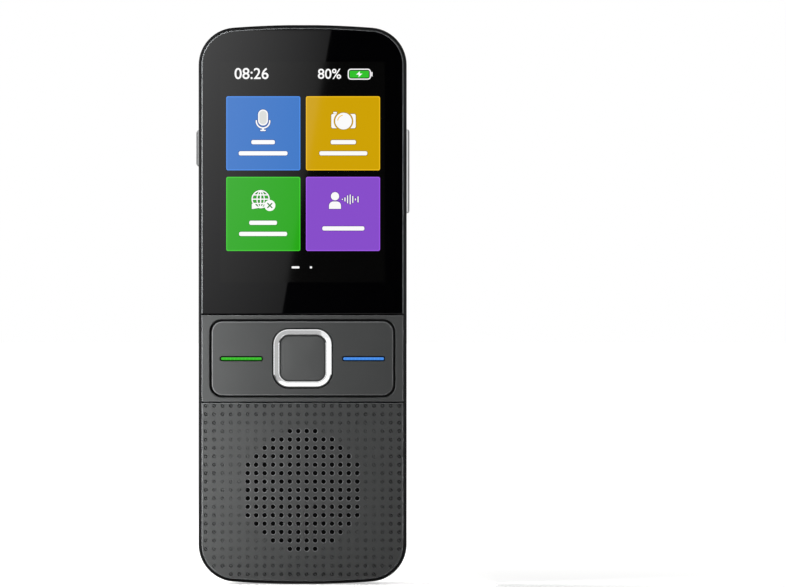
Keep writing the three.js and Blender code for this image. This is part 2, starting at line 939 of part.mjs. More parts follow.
// Loudspeaker parts, turned about the speaker's axis
function speakerBasket() {
  const back = speakerFront + speakerHeight;
  const rimInner = speakerRadius - speakerRim;
  const waist = (speakerRadius + magnetRadius) / 2;
  return turned(
    [
      [speakerRadius, speakerFront],
      [speakerRadius, speakerFront + speakerRimHeight],
      [waist, back],
      [magnetRadius + fit, back],
      [magnetRadius + fit, back - basketWall],
      [waist - basketWall, back - basketWall],
      [rimInner, speakerFront + speakerRimHeight],
      [rimInner, speakerFront],
      [speakerRadius, speakerFront],
    ],
    speakerSteps,
  );
}

function speakerMagnet() {
  const back = speakerFront + speakerHeight;
  return turned([
    [0, back - magnetHeight],
    [magnetRadius, back - magnetHeight],
    [magnetRadius, back],
    [0, back],
  ]);
}

function speakerCone() {
  const rim = speakerRadius - speakerRim - fit;
  const front = speakerFront + coneThickness;
  const trough = (magnetRadius + rim) / 2;
  const dome = magnetRadius / 2;
  return turned(
    [
      [0, front],
      [dome, front + coneDip / 2],
      [magnetRadius, front + coneDip],
      [trough, front + coneDip / 2],
      [rim, front],
      [rim, front + coneThickness],
      [trough, front + coneDip / 2 + coneThickness],
      [magnetRadius, front + coneDip + coneThickness],
      [dome, front + coneDip / 2 + coneThickness],
      [0, front + coneThickness],
    ],
    speakerSteps,
  );
}

function speakerGasket() {
  const inner = speakerRadius - gasketWidth;
  return turned(
    [
      [speakerRadius, gasketFront],
      [speakerRadius, gasketFront + gasketThickness],
      [inner, gasketFront + gasketThickness],
      [inner, gasketFront],
      [speakerRadius, gasketFront],
    ],
    speakerSteps,
  );
}

function speakerClothDisc() {
  return rod(speakerRadius + clothMargin, clothFront, clothFront + clothThickness, 0, 0, speakerSteps);
}

// Main board, cut away for the screw bosses, the side switches and the USB port
const usbCentre = boardMiddle + usbSink;

function switchPlaces() {
  return [
    ["power_switch", -1, powerCentre],
    ["volume_up_switch", 1, volumeCentre + volumeSwitchOffset],
    ["volume_down_switch", 1, volumeCentre - volumeSwitchOffset],
  ];
}

function mainBoard() {
  const edge = outline(sideWall + boardEndMargin);
  const blank = solidOf(skin([edge, edge], [boardFront, boardBack], false));
  const width = bodyWidth - 2 * (sideWall + boardSideMargin);
  const trimmed = blank.intersect(
    solidOf(block(width, bodyLength, boardFront - overrun, boardBack + overrun, 0, bodyLength / 2)),
  );
  const holes = bossPlaces.map(([x, z]) =>
    solidOf(
      rod(bossRadius + boardHoleClearance, boardFront - overrun, boardBack + overrun, x, z, holeSteps * 2),
    ),
  );
  const notches = switchPlaces().map(([, side, z]) =>
    solidOf(
      block(
        2 * (switchDepth + plungerReach + fit),
        switchLength + 2 * fit,
        boardFront - overrun,
        boardBack + overrun,
        side * plungerFace,
        z,
      ),
    ),
  );
  const usbNotch = solidOf(
    block(
      usbWidth + 2 * slidingFit,
      2 * (usbRecess + usbLength + slidingFit),
      boardFront - overrun,
      boardBack + overrun,
      0,
      0,
    ),
  );
  return cut(trimmed, ...holes, ...notches, usbNotch);
}

function boardShield(left, right) {
  const low = bossMidHeight + bossRadius + bossMidRise;
  return roundedPlate(
    right - left,
    shieldLength,
    shieldCornerRadius,
    boardBack + fit,
    boardBack + fit + shieldHeight,
    (left + right) / 2,
    low + shieldLength / 2,
  );
}

// A rounded sleeve round the USB port's own shell, between two heights
function usbSleeve(grow, low, high) {
  const width = usbWidth + 2 * grow;
  const height = usbHeight + 2 * grow;
  const geometry = new THREE.ExtrudeGeometry(roundedRect(width, height, height / 2 - fit), {
    depth: high - low,
    bevelEnabled: false,
    curveSegments: smallCornerSteps,
  });
  return moved(geometry, 0, usbCentre, low);
}

function usbPort() {
  const low = usbRecess;
  const high = usbRecess + usbLength;
  const shell = solidOf(usbSleeve(0, low, high));
  const cavity = solidOf(usbSleeve(-usbWall, low - overrun, high - usbBackWall));
  const tongueLow = low + usbTongueSetback;
  const tongue = solidOf(
    block(
      usbTongueWidth,
      high - tongueLow,
      usbCentre - usbTongueHeight / 2,
      usbCentre + usbTongueHeight / 2,
      0,
      (high + tongueLow) / 2,
    ),
  );
  return join(cut(shell, cavity), tongue);
}

function microphone() {
  return block(
    microphoneWidth,
    microphoneLength,
    boardBack + fit,
    boardBack + fit + microphoneHeight,
    microphoneX,
    microphoneRise + microphoneLength / 2,
  );
}

// A rubber boot carries sound from the hole in the bottom wall to the microphone
function microphoneBoot() {
  const low = sideWall + microphoneHoleRadius;
  const high = microphoneRise - fit;
  const boot = block(
    microphoneWidth,
    high - low,
    boardBack + fit,
    boardBack + fit + microphoneHeight,
    microphoneX,
    (low + high) / 2,
  );
  const passage = new THREE.CylinderGeometry(
    microphoneHoleRadius / 2,
    microphoneHoleRadius / 2,
    high - low + 2 * overrun,
    holeSteps,
  );
  passage.rotateX(Math.PI / 2);
  const bore = moved(passage, microphoneX, boardBack + fit + microphoneHeight / 2, (low + high) / 2);
  return cut(solidOf(boot), solidOf(bore));
}

function sideButton(side, length) {
  const outer = halfWidth + buttonProud;
  const cap = block(
    outer - flangeInner,
    length,
    buttonFront,
    buttonBack,
    (side * (outer + flangeInner)) / 2,
    0,
  );
  const flange = block(
    flangeOuter - flangeInner,
    length + 2 * buttonFlangeReach,
    buttonFront,
    buttonBack,
    (side * (flangeOuter + flangeInner)) / 2,
    0,
  );
  return join(solidOf(cap), solidOf(flange));
}

function sideSwitch(side, z) {
  const bodyFace = plungerFace - plungerReach;
  const body = block(
    switchDepth,
    switchLength,
    boardMiddle - switchHeight / 2,
    boardMiddle + switchHeight / 2,
    side * (bodyFace - switchDepth / 2),
    z,
  );
  const plunger = block(
    plungerReach + fit,
    plungerLength,
    boardMiddle - switchHeight / 4,
    boardMiddle + switchHeight / 4,
    side * (plungerFace - (plungerReach + fit) / 2),
    z,
  );
  return join(solidOf(body), solidOf(plunger));
}

// Battery, the pad it is stuck down with, and the contact block above it
function batteryCell() {
  const shape = roundedRect(batteryWidth, batteryThickness, batteryEdgeRadius);
  const geometry = new THREE.ExtrudeGeometry(shape, {
    depth: batteryLength,
    bevelEnabled: false,
    curveSegments: smallCornerSteps,
  });
  return moved(geometry, 0, (batteryFront + batteryBack) / 2, batteryCentre - batteryLength / 2);
}

function batteryPad() {
  return block(
    batteryWidth - 2 * batteryPadMargin,
    batteryLength - 2 * batteryPadMargin,
    batteryPadFront,
    batteryPadFront + batteryPadThickness,
    0,
    batteryCentre,
  );
}

function batteryContacts() {
  const low = batteryTop + bayClearance;
  const front = boardBack + fit;
  const holder = block(contactWidth, contactLength, front, front + contactHeight, 0, low + contactLength / 2);
  const bladeWidth = contactWidth / (2 * contactBlades + 1);
  const blades = Array.from({ length: contactBlades }, (_, k) =>
    solidOf(
      block(
        bladeWidth,
        bayClearance,
        front + contactHeight / 3,
        front + (2 * contactHeight) / 3,
        (2 * k - contactBlades + 1) * bladeWidth,
        low - bayClearance / 2 + fit,
      ),
    ),
  );
  return join(solidOf(holder), ...blades);
}

// Rear chassis: closes the board in, frames the battery bay and takes the screws
function rearChassis() {
  const edge = outline(chassisInset);
  const sheet = solidOf(skin([edge, edge], [chassisFront, chassisBack], false));
  const bayBottom = batteryTop - batteryLength - bayClearance;
  const bayWidth = batteryWidth + 2 * bayClearance;
  const bayMiddle = (bayTop + bayBottom) / 2;
  const bayLength = bayTop - bayBottom;
  const wall = solidOf(
    block(
      bayWidth + 2 * bayWall,
      bayLength + 2 * bayWall,
      chassisFront - bayWallDrop,
      chassisBack,
      0,
      bayMiddle,
    ),
  );
  const bay = solidOf(
    block(bayWidth, bayLength, chassisFront - bayWallDrop - overrun, chassisBack + overrun, 0, bayMiddle),
  );
  const moduleHole = solidOf(
    block(
      moduleWidth + 2 * slidingFit,
      moduleWidth + 2 * slidingFit,
      chassisFront - overrun,
      chassisBack + overrun,
      lampSide,
      cameraCentre,
    ),
  );
  const screwHoles = bossPlaces.map(([x, z]) =>
    solidOf(
      rod(screwRadius + screwClearance, chassisFront - overrun, chassisBack + overrun, x, z, holeSteps * 2),
    ),
  );
  return cut(join(sheet, wall), bay, moduleHole, ...screwHoles);
}

function screw() {
  const head = chassisBack + fit;
  const top = head + screwHeadHeight;
  return turned(
    [
      [0, top - screwSocketDepth],
      [screwSocketRadius, top - screwSocketDepth],
      [screwSocketRadius, top],
      [screwHeadRadius - fit, top],
      [screwHeadRadius, top - fit],
      [screwHeadRadius, head],
      [screwRadius, head],
      [screwRadius, head - screwLength + screwRadius],
      [0, head - screwLength],
    ],
    holeSteps * 2,
  );
}

// The two rear covers are slices of one crowned shell
function rearShell() {
  const outerCurve = quarterRound(
    rearInset,
    rimDepth + fit,
    rearInset + crownReach,
    bodyDepth,
    crownSteps,
  );
  const innerCurve = quarterRound(
    rearInset + rearEdgeWall,
    rimDepth,
    rearInset + crownReach,
    coverInside,
    crownSteps,
  );
  const mouth = [[rearInset + rearEdgeWall, rimDepth - overrun]];
  const outer = skin(
    outerCurve.map(([inset]) => crownOutline(inset)),
    outerCurve.map(([, depth]) => depth),
    false,
  );
  const inner = skin(
    [...mouth, ...innerCurve].map(([inset]) => crownOutline(inset)),
    [...mouth, ...innerCurve].map(([, depth]) => depth),
    false,
  );
  return cut(solidOf(outer), solidOf(inner));
}

// Tongues on the battery cover drop between the side band and the chassis and hold it by friction
function coverTongues() {
  const front = rimDepth - tongueDepth;
  const back = rimDepth + tongueRoot;
  return tonguePlaceShares.flatMap((share) =>
    [-1, 1].map((side) =>
      solidOf(
        block(
          tongueThickness,
          tongueLength,
          front,
          back,
          side * (halfWidth - tongueInset - tongueThickness / 2),
          share * batteryCoverLength,
        ),
      ),
    ),
  );
}

function batteryCover() {
  const lower = slice(rearShell(), -overrun, batteryCoverLength - rearSeamGap / 2);
  const notch = solidOf(
    block(
      pryNotchWidth,
      2 * (rearInset + rearEdgeWall),
      rimDepth - overrun,
      rimDepth + fit + pryNotchDepth,
      pryNotchX,
      0,
    ),
  );
  return cut(join(lower, ...coverTongues()), notch);
}

function upperCover() {
  const upper = slice(rearShell(), batteryCoverLength + rearSeamGap / 2, bodyLength + overrun);
  const foot = cameraDiscRadius + collarReach;
  const collar = turned([
    [0, coverInside + fit],
    [foot, coverInside + fit],
    [foot, bodyDepth],
    [cameraDiscRadius + collarReach / 2, bodyDepth + collarRise / 2],
    [cameraDiscRadius + 2 * fit, bodyDepth + collarRise],
    [0, bodyDepth + collarRise],
  ]);
  const hole = rod(
    cameraDiscRadius + fit,
    coverInside - overrun,
    bodyDepth + bumpRise + overrun,
    0,
    cameraCentre,
  );
  const recess = rod(
    cameraDiscRadius + discFlangeReach + fit,
    chassisBack,
    coverInside,
    0,
    cameraCentre,
  );
  const raised = join(upper, solidOf(moved(collar, 0, 0, cameraCentre)));
  return cut(raised, solidOf(hole), solidOf(recess));
}

// Camera pieces, placed about the middle of the camera disc
const discBack = bodyDepth + bumpRise;
const flangeBack = coverInside - fit;
const flangeFront = flangeBack - discFlangeThickness;
const moduleTop = flangeFront - fit;

function cameraDisc() {
  const disc = turned([
    [0, flangeFront],
    [cameraDiscRadius + discFlangeReach, flangeFront],
    [cameraDiscRadius + discFlangeReach, flangeBack],
    [cameraDiscRadius, flangeBack],
    [cameraDiscRadius, discBack - edgeChamfer],
    [cameraDiscRadius - edgeChamfer, discBack],
    [0, discBack],
  ]);
  const lensHole = rod(lensRingRadius + fit, flangeFront - overrun, discBack + overrun, lampSide, 0);
  const flashHole = rod(flashRadius + fit, flangeFront - overrun, discBack + overrun, -lampSide, 0);
  return cut(solidOf(disc), solidOf(lensHole), solidOf(flashHole));
}

function lensRing() {
  const back = discBack - lensRecess;
  return turned([
    [lensRadius + fit, flangeFront],
    [lensRingRadius, flangeFront],
    [lensRingRadius, back],
    [lensRadius + fit, back - lensRecess],
    [lensRadius + fit, flangeFront],
  ]);
}

function cameraLens() {
  return rod(lensRadius, flangeFront, discBack - 2 * lensRecess, 0, 0, holeSteps * 2);
}

function flashDiffuser() {
  return rod(flashRadius, flangeFront, discBack - lensRecess / 2, 0, 0);
}

function cameraModule() {
  const shoulder = moduleTop - barrelLength;
  const body = block(moduleWidth, moduleWidth, boardBack + fit, shoulder, 0, 0);
  const barrel = rod(barrelRadius, shoulder - fit, moduleTop, 0, 0);
  return join(solidOf(body), solidOf(barrel));
}

function cameraFlex() {
  const back = boardBack + fit + flexThickness;
  const top = cameraCentre - moduleWidth / 2 - fit;
  const strip = block(
    cameraFlexWidth,
    cameraFlexLength,
    boardBack + fit,
    back,
    lampSide,
    top - cameraFlexLength / 2,
  );
  const plug = block(
    cameraFlexWidth + 2 * flexPlugHeight,
    cameraFlexLength / 2,
    boardBack + fit,
    back + flexPlugHeight,
    lampSide,
    top - (3 * cameraFlexLength) / 4,
  );
  return join(solidOf(strip), solidOf(plug));
}

const flashBoardFront = chassisBack + fit;
const flashBoardBack = flashBoardFront + flashBoardThickness;
const flashBoardX = lampSide - moduleWidth / 2 - moduleGap - flashBoardWidth / 2;

function flashBoard() {
  return block(
    flashBoardWidth,
    flashBoardLength,
    flashBoardFront,
    flashBoardBack,
    flashBoardX,
    0,
  );
}

function flashLamp() {
  return block(
    flashLampWidth,
    flashLampWidth,
    flashBoardBack + fit,
    flashBoardBack + fit + flashLampHeight,
    -lampSide,
    0,
  );
}

function wifiAntenna() {
  const left = antennaInset - halfWidth;
  const right = flashBoardX - flashBoardWidth / 2 - antennaGap;
  return block(
    right - left,
    antennaLength,
    chassisBack + fit,
    chassisBack + fit + antennaThickness,
    (left + right) / 2,
    bodyLength - antennaDrop - antennaLength / 2,
  );
}

// Front: glass, panels and the housing that carries them
addPart("front_housing", geometryOf(frontHousing()), blackHousing);
addPart("touch_glass", geometryOf(touchGlass()), blackGlass);
addPart("key_surround", geometryOf(keySurround()), charcoalPanel);
addPart("grille_panel", geometryOf(grillePanel()), charcoalPanel);
addPart("display_panel", displayPanel(), displayGlass);
addPart("display_flex", displayFlex(), amberFilm);

// Keypad, placed about the middle of the key zone
const keypad = new THREE.Group();
keypad.position.set(0, 0, keyCentre);
device.add(keypad);
addPart("key_plate", geometryOf(keyPlate()), charcoalPanel, keypad);
addPart("green_light_bar", geometryOf(lightBar()), greenLens, keypad).position.x = -barCentre;
addPart("blue_light_bar", geometryOf(lightBar()), blueLens, keypad).position.x = barCentre;
addPart("home_ring", geometryOf(homeRing()), brightMetal, keypad);
addPart("home_button", geometryOf(homeButton()), charcoalPanel, keypad);
addPart("key_membrane", geometryOf(keyMembrane()), siliconeRubber, keypad);
addPart("green_lamp", keyLamp(), lampWhite, keypad).position.x = -barCentre;
addPart("blue_lamp", keyLamp(), lampWhite, keypad).position.x = barCentre;
["left_key_switch", "right_key_switch", "home_switch"].forEach((name, k) => {
  const [x, z] = nubPlaces[k];
  addPart(name, domeSwitch(), tinPlate).position.set(x, 0, z);
});

// Loudspeaker
const speaker = new THREE.Group();
speaker.position.set(0, 0, speakerCentre);
device.add(speaker);
addPart("speaker_cloth", speakerClothDisc(), speakerCloth, speaker);
addPart("speaker_gasket", speakerGasket(), foam, speaker);
addPart("speaker_basket", speakerBasket(), blackPlastic, speaker);
addPart("speaker_cone", speakerCone(), foam, speaker);
addPart("speaker_magnet", speakerMagnet(), ferrite, speaker);

// Electronics
addPart("main_board", geometryOf(mainBoard()), boardResin);
const processorEdge = processorShieldWidth - shieldSpan / 2;
addPart("processor_shield", boardShield(-shieldSpan / 2, processorEdge), tinPlate);
addPart("radio_shield", boardShield(processorEdge + shieldSplit, shieldSpan / 2), tinPlate);
addPart("usb_port", geometryOf(usbPort()), tinPlate);
addPart("microphone", microphone(), tinPlate);
addPart("microphone_boot", geometryOf(microphoneBoot()), siliconeRubber);
switchPlaces().forEach(([name, side, z]) => {
  addPart(name, geometryOf(sideSwitch(side, z)), tinPlate);
});
addPart("battery_cell", batteryCell(), batteryFoil);
addPart("battery_pad", batteryPad(), foam);
addPart("battery_contacts", geometryOf(batteryContacts()), goldPlate);

// Side buttons, each placed at its own height
addPart("power_button", geometryOf(sideButton(-1, powerButtonLength)), satinMetal).position.z = powerCentre;
addPart("volume_rocker", geometryOf(sideButton(1, volumeRockerLength)), satinMetal).position.z =
  volumeCentre;

// Back: chassis, screws and covers
addPart("rear_chassis", geometryOf(rearChassis()), greyChassis);
bossPlaces.forEach(([x, z], k) => {
  addPart(`chassis_screw_${k + 1}`, screw(), tinPlate).position.set(x, 0, z);
});
addPart("wifi_antenna", wifiAntenna(), amberFilm);
addPart("battery_cover", geometryOf(batteryCover()), charcoalCover);
addPart("upper_cover", geometryOf(upperCover()), charcoalCover);

// Camera, placed about the middle of its disc
const camera = new THREE.Group();
camera.position.set(0, 0, cameraCentre);
device.add(camera);
addPart("camera_disc", geometryOf(cameraDisc()), charcoalCover, camera);
addPart("lens_ring", lensRing(), lensGrey, camera).position.x = lampSide;
addPart("camera_lens", cameraLens(), lensBlack, camera).position.x = lampSide;
addPart("camera_module", geometryOf(cameraModule()), blackPlastic, camera).position.x = lampSide;
addPart("flash_diffuser", flashDiffuser(), flashYellow, camera).position.x = -lampSide;
addPart("flash_board", flashBoard(), boardResin, camera);
addPart("flash_lamp", flashLamp(), lampWhite, camera);
addPart("camera_flex", geometryOf(cameraFlex()), amberFilm);

const translator = new THREE.Group();
translator.add(device);

export default translator;
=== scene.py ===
# %% [markdown]
# # A handheld voice translator
# The object is a slim black bar with a touch screen, a wide rocking key with a bright square ring,
# a loudspeaker grille, and a camera on its back. Its mechanical model is already made, so this
# lesson dresses that model: each step builds a fine outer form from the same measures, or gives an
# inner part its finish. All lengths are written in millimetres and turned to metres in one place.

# %% Load the mechanical frame
import math

import bmesh
import bpy
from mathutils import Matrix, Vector
from mathutils.geometry import delaunay_2d_cdt


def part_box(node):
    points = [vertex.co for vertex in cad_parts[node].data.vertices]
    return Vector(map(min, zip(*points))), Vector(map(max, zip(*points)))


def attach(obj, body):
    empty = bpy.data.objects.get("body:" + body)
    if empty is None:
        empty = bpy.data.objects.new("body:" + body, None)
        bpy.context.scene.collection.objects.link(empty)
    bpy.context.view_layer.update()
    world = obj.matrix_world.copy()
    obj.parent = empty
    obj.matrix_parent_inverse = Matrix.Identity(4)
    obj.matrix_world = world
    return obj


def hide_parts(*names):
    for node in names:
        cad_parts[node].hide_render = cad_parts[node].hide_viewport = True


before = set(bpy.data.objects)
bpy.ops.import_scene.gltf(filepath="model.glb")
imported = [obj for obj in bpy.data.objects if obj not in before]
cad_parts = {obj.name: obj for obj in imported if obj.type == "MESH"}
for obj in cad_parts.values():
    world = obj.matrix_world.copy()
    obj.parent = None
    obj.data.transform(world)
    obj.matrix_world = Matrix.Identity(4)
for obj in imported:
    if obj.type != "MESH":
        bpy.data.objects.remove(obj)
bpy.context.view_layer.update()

MM = 0.001
scene = bpy.context.scene
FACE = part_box("touch_glass")[0].y / MM
print("parts:", len(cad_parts), " front of the glass at y =", round(FACE, 3), "mm")

# %% [markdown]
# ## Measures of the bar
# Seen from the front the bar has straight sides, round corners and slightly arched ends with a
# short flat in the middle, on which it can be stood. Each corner is an arc that touches the side
# and the arched end, so one function can draw the outline at any distance in from the edge. Every
# plate, band and cover below is made from it, which is why their edges run parallel.

# %% Outline of the bar
HALF_WIDTH = 24.75
LENGTH = 133.0
CORNER = 8.9
END_ARC = 213.0
FLAT_SHARE = 5
full_lean = math.acos((HALF_WIDTH - CORNER) / (END_ARC - CORNER))
half_flat = (math.pi / 2 - full_lean) / FLAT_SHARE
ARC_CENTRE = LENGTH / 2 - END_ARC * math.cos(half_flat)


def corner_of(inset, radius):
    """Centre of the upper right corner arc, and the angle at which it meets the end arc."""
    x = HALF_WIDTH - inset - radius
    reach = END_ARC - inset - radius
    return x, ARC_CENTRE + math.sqrt(reach**2 - x**2), math.acos(x / reach)


def outline(inset, radius=None, corner_steps=14, end_steps=20):
    """Points round the bar, taken in by an inset: first the upper half, then the lower half."""
    radius = CORNER - inset if radius is None else radius
    cx, cz, lean = corner_of(inset, radius)
    corner = [lean * i / corner_steps for i in range(corner_steps + 1)]
    arch = [lean + (math.pi - 2 * lean) * i / end_steps for i in range(1, end_steps)]
    right = [(cx + radius * math.cos(a), cz + radius * math.sin(a)) for a in corner]
    flat = LENGTH / 2 - inset
    middle = [((END_ARC - inset) * math.cos(a), ARC_CENTRE + (END_ARC - inset) * math.sin(a))
              for a in arch]
    upper = right + middle + [(-x, z) for x, z in reversed(right)]
    upper = [(x, min(z, flat)) for x, z in upper]
    return [(x, z + LENGTH / 2) for x, z in upper + [(-x, -z) for x, z in upper]]


print("outline points:", len(outline(0)), " width", 2 * max(x for x, z in outline(0)),
      " length", round(max(z for x, z in outline(0)) - min(z for x, z in outline(0)), 3))

# %% [markdown]
# ## Shapes from loops
# Moulded and pressed parts are closed skins: a face, rounded edges, walls and an underside. The
# surest way to get clean edges is to draw the same loop several times, a little further in or out
# and a little deeper each time, and to join neighbours with strips. Flat faces that have holes are
# filled with triangles between their loops. A weighted-normal modifier then keeps the large faces
# flat in the light while the narrow edge strips carry the highlight.

# %% Loops
def rounded(width, length, radius, x=0.0, z=0.0, steps=8):
    """A rectangle with round corners, anticlockwise from its lower right corner."""
    w, l = width / 2 - radius, length / 2 - radius
    loop = []
    for k, (sx, sz) in enumerate([(1, -1), (1, 1), (-1, 1), (-1, -1)]):
        for i in range(steps + 1):
            a = math.pi / 2 * (k - 1 + i / steps)
            loop.append((x + sx * w + radius * math.cos(a), z + sz * l + radius * math.sin(a)))
    return loop


def grown(size, grow, x=0.0, z=0.0, steps=8):
    """A round-cornered rectangle of a size (width, length, radius), moved out on every side."""
    width, length, radius = size
    return rounded(width + 2 * grow, length + 2 * grow, radius + grow, x, z, steps)


def circle(radius, x=0.0, z=0.0, steps=48):
    turns = [2 * math.pi * i / steps for i in range(steps)]
    return [(x + radius * math.cos(a), z + radius * math.sin(a)) for a in turns]


def panel_loop(inset, low=None, high=None):
    """The part of the outline between two heights, closed by straight cuts."""
    points = outline(inset)
    half = len(points) // 2
    edge = HALF_WIDTH - inset
    top = points[:half] if high is None else [(edge, high), (-edge, high)]
    bottom = points[half:] if low is None else [(-edge, low), (edge, low)]
    return top + bottom


# %% Shapes
class Shape:
    """Points (x, depth behind the glass, z) in millimetres and the faces between them."""

    def __init__(self):
        self.points, self.faces, self.slots, self.flat = [], [], [], []

    def add_points(self, points):
        start = len(self.points)
        self.points += points
        return list(range(start, len(self.points)))

    def placed(self):
        """The points along the frame's axes, in millimetres."""
        return [(x, FACE + depth, z) for x, depth, z in self.points]

    def ring(self, loop, depth):
        return self.add_points([(x, depth, z) for x, z in loop])

    def rounds(self, size, profile, x=0.0, z=0.0, steps=8):
        """Rings of one rectangle along a profile of (grow, depth)."""
        return [self.ring(grown(size, grow, x, z, steps), depth) for grow, depth in profile]

    def turns(self, profile, x=0.0, z=0.0, steps=48):
        """Rings of circles along a profile of (radius, depth)."""
        return [self.ring(circle(radius, x, z, steps), depth) for radius, depth in profile]

    def face(self, corners, slot, flat=False):
        self.faces.append(tuple(corners))
        self.slots.append(slot)
        self.flat.append(flat)

    def strip(self, first, second, slot=0):
        for i in range(len(first)):
            j = (i + 1) % len(first)
            self.face((first[i], first[j], second[j], second[i]), slot)

    def wall(self, loop, front, back):
        """A straight wall along a loop. Returns its front and back ring."""
        rings = [self.ring(loop, front), self.ring(loop, back)]
        self.strip(*rings)
        return rings

    def cap(self, ring, slot=0):
        self.face(ring, slot, flat=True)

    def fill(self, outer, holes=(), slot=0, dots=()):
        """Triangles that fill the outer ring, leave the holes open and run through the dots."""
        loops = []
        for loop in [outer, *holes]:
            corners = [(self.points[i][0], self.points[i][2]) for i in loop]
            area = sum(ax * bz - bx * az
                       for (ax, az), (bx, bz) in zip(corners, corners[1:] + corners[:1]))
            loops.append(loop if area > 0 else loop[::-1])
        bounds, index = [], []
        for loop in loops:
            bounds.append(list(range(len(index), len(index) + len(loop))))
            index += loop
        index += dots
        flat = [Vector((self.points[i][0], self.points[i][2])) for i in index]
        _, _, triangles, origins, _, inside = delaunay_2d_cdt(flat, [], bounds, 1, 1e-7)
        for triangle, within in zip(triangles, inside):
            if list(within) == [0]:
                self.face((index[origins[v][0]] for v in triangle), slot, flat=True)

    def stack(self, rings, slot=0, close=True):
        """Strips through rings of equal counts, capped at both ends."""
        for first, second in zip(rings, rings[1:]):
            self.strip(first, second, slot)
        if close:
            self.cap(rings[0], slot)
            self.cap(rings[-1], slot)

    def hoop(self, rings, slot=0):
        """Strips through rings, and from the last back to the first."""
        self.stack(rings + rings[:1], slot, close=False)


# %% Pieces
def new_object(name, points, faces):
    """An object in the scene, from points in millimetres along the frame's axes."""
    mesh = bpy.data.meshes.new(name)
    mesh.from_pydata([Vector(point) * MM for point in points], [], faces)
    made = bpy.data.objects.new(name, mesh)
    scene.collection.objects.link(made)
    return made


def edit_mesh(mesh, operation, part, **settings):
    """Runs one bmesh operation on all the faces or all the verts of a mesh."""
    work = bmesh.new()
    work.from_mesh(mesh)
    operation(work, **{part: getattr(work, part)}, **settings)
    work.to_mesh(mesh)
    work.free()


def smooth(mesh, sharp=32):
    mesh.polygons.foreach_set("use_smooth", [True] * len(mesh.polygons))
    mesh.set_sharp_from_angle(angle=math.radians(sharp))


def finish_piece(piece, body, finishes, replaces=(), sharp=32, flat=()):
    """Turns faces outwards, smooths all but sharp edges, and makes the piece ride on its body.

    Edges round a flat face stay sharp, so the face reflects like a plane up to its border."""
    mesh = piece.data
    edit_mesh(mesh, bmesh.ops.recalc_face_normals, "faces")
    for finish in finishes:
        mesh.materials.append(finish)
    smooth(mesh, sharp)
    if any(flat) and not all(flat):
        beside = {}
        for face, level in zip(mesh.polygons, flat):
            for key in face.edge_keys:
                beside.setdefault(key, set()).add(level)
        for edge in mesh.edges:
            if len(beside.get(edge.key, ())) == 2:
                edge.use_edge_sharp = True
    weights = piece.modifiers.new("even_faces", "WEIGHTED_NORMAL")
    weights.keep_sharp = True
    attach(piece, body)
    if replaces:
        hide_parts(*replaces)


def make_piece(name, shape, body, finishes, replaces=(), sharp=32):
    piece = new_object(name, shape.placed(), shape.faces)
    piece.data.polygons.foreach_set("material_index", shape.slots)
    print(f"{name}: {len(piece.data.vertices)} points, {len(piece.data.polygons)} faces")
    finish_piece(piece, body, finishes, replaces, sharp, shape.flat)
    return piece


# %% Cut openings in a piece
def cut_away(piece, cutters):
    """Subtracts closed shapes from a piece and keeps the resulting mesh."""
    tools = []
    for k, shape in enumerate(cutters):
        tool = new_object(f"cutter_{k}", shape.placed(), shape.faces)
        edit_mesh(tool.data, bmesh.ops.recalc_face_normals, "faces")
        cutter = piece.modifiers.new(f"opening_{k}", "BOOLEAN")
        cutter.operation, cutter.solver, cutter.object = "DIFFERENCE", "EXACT", tool
        piece.modifiers.move(len(piece.modifiers) - 1, k)
        tools.append(tool)
    weights = piece.modifiers["even_faces"]
    weights.show_viewport = False
    bpy.context.view_layer.update()
    graph = bpy.context.evaluated_depsgraph_get()
    made = bpy.data.meshes.new_from_object(piece.evaluated_get(graph))
    for modifier in [m for m in piece.modifiers if m.type == "BOOLEAN"]:
        piece.modifiers.remove(modifier)
    piece.data = made
    smooth(made)
    weights.show_viewport = True
    for tool in tools:
        bpy.data.objects.remove(tool)
    print(f"{piece.name}: {len(made.polygons)} faces after {len(tools)} openings")


# %% [markdown]
# ## Colours and nodes
# Colours are written as they look on a screen, in sRGB hex, and turned to linear light once. One
# small helper adds a shader node, sets it and links it. Object coordinates are metres in the bar's
# own frame, so the scale of a pattern is a thousand over its real size in millimetres.

# %% Helpers for finishes
def linear(code):
    """A hex colour as linear light."""
    parts = [int(code[i:i + 2], 16) / 255 for i in (1, 3, 5)]
    return [c / 12.92 if c <= 0.04045 else ((c + 0.055) / 1.055) ** 2.4 for c in parts] + [1.0]


def add_node(tree, kind, sockets=None, **settings):
    """Adds a node. A socket is given a value, or another node's output to link from."""
    made = tree.nodes.new(kind)
    for name, value in settings.items():
        setattr(made, name, value)
    for name, value in (sockets or {}).items():
        if isinstance(value, bpy.types.NodeSocket):
            tree.links.new(value, made.inputs[name])
        else:
            made.inputs[name].default_value = value
    return made


def new_finish(name, sockets, kind="ShaderNodeBsdfPrincipled"):
    """An empty material with one shader, its values set on its own sockets."""
    made = bpy.data.materials.new(name)
    made.use_nodes = True
    tree = made.node_tree
    tree.nodes.clear()
    shader = add_node(tree, kind, sockets)
    add_node(tree, "ShaderNodeOutputMaterial", {"Surface": shader.outputs[0]})
    return made, tree, shader


def per_mm(size):
    """The texture scale that repeats once in this many millimetres."""
    return 1.0 / (size * MM)


# %% [markdown]
# ## Moulded and painted plastics
# Most of the bar is injection-moulded polycarbonate blend. Its mould was spark-eroded, which
# leaves a fine grain that breaks up reflections. The front panels are sprayed with a graphite
# paint, which has a little metal flake in it. One recipe serves them all: a base colour that
# wanders slightly, a grain for roughness and a shallow relief. Real grain is about 0.05 mm, too
# fine for the picture, so it is drawn three to six times as coarse.

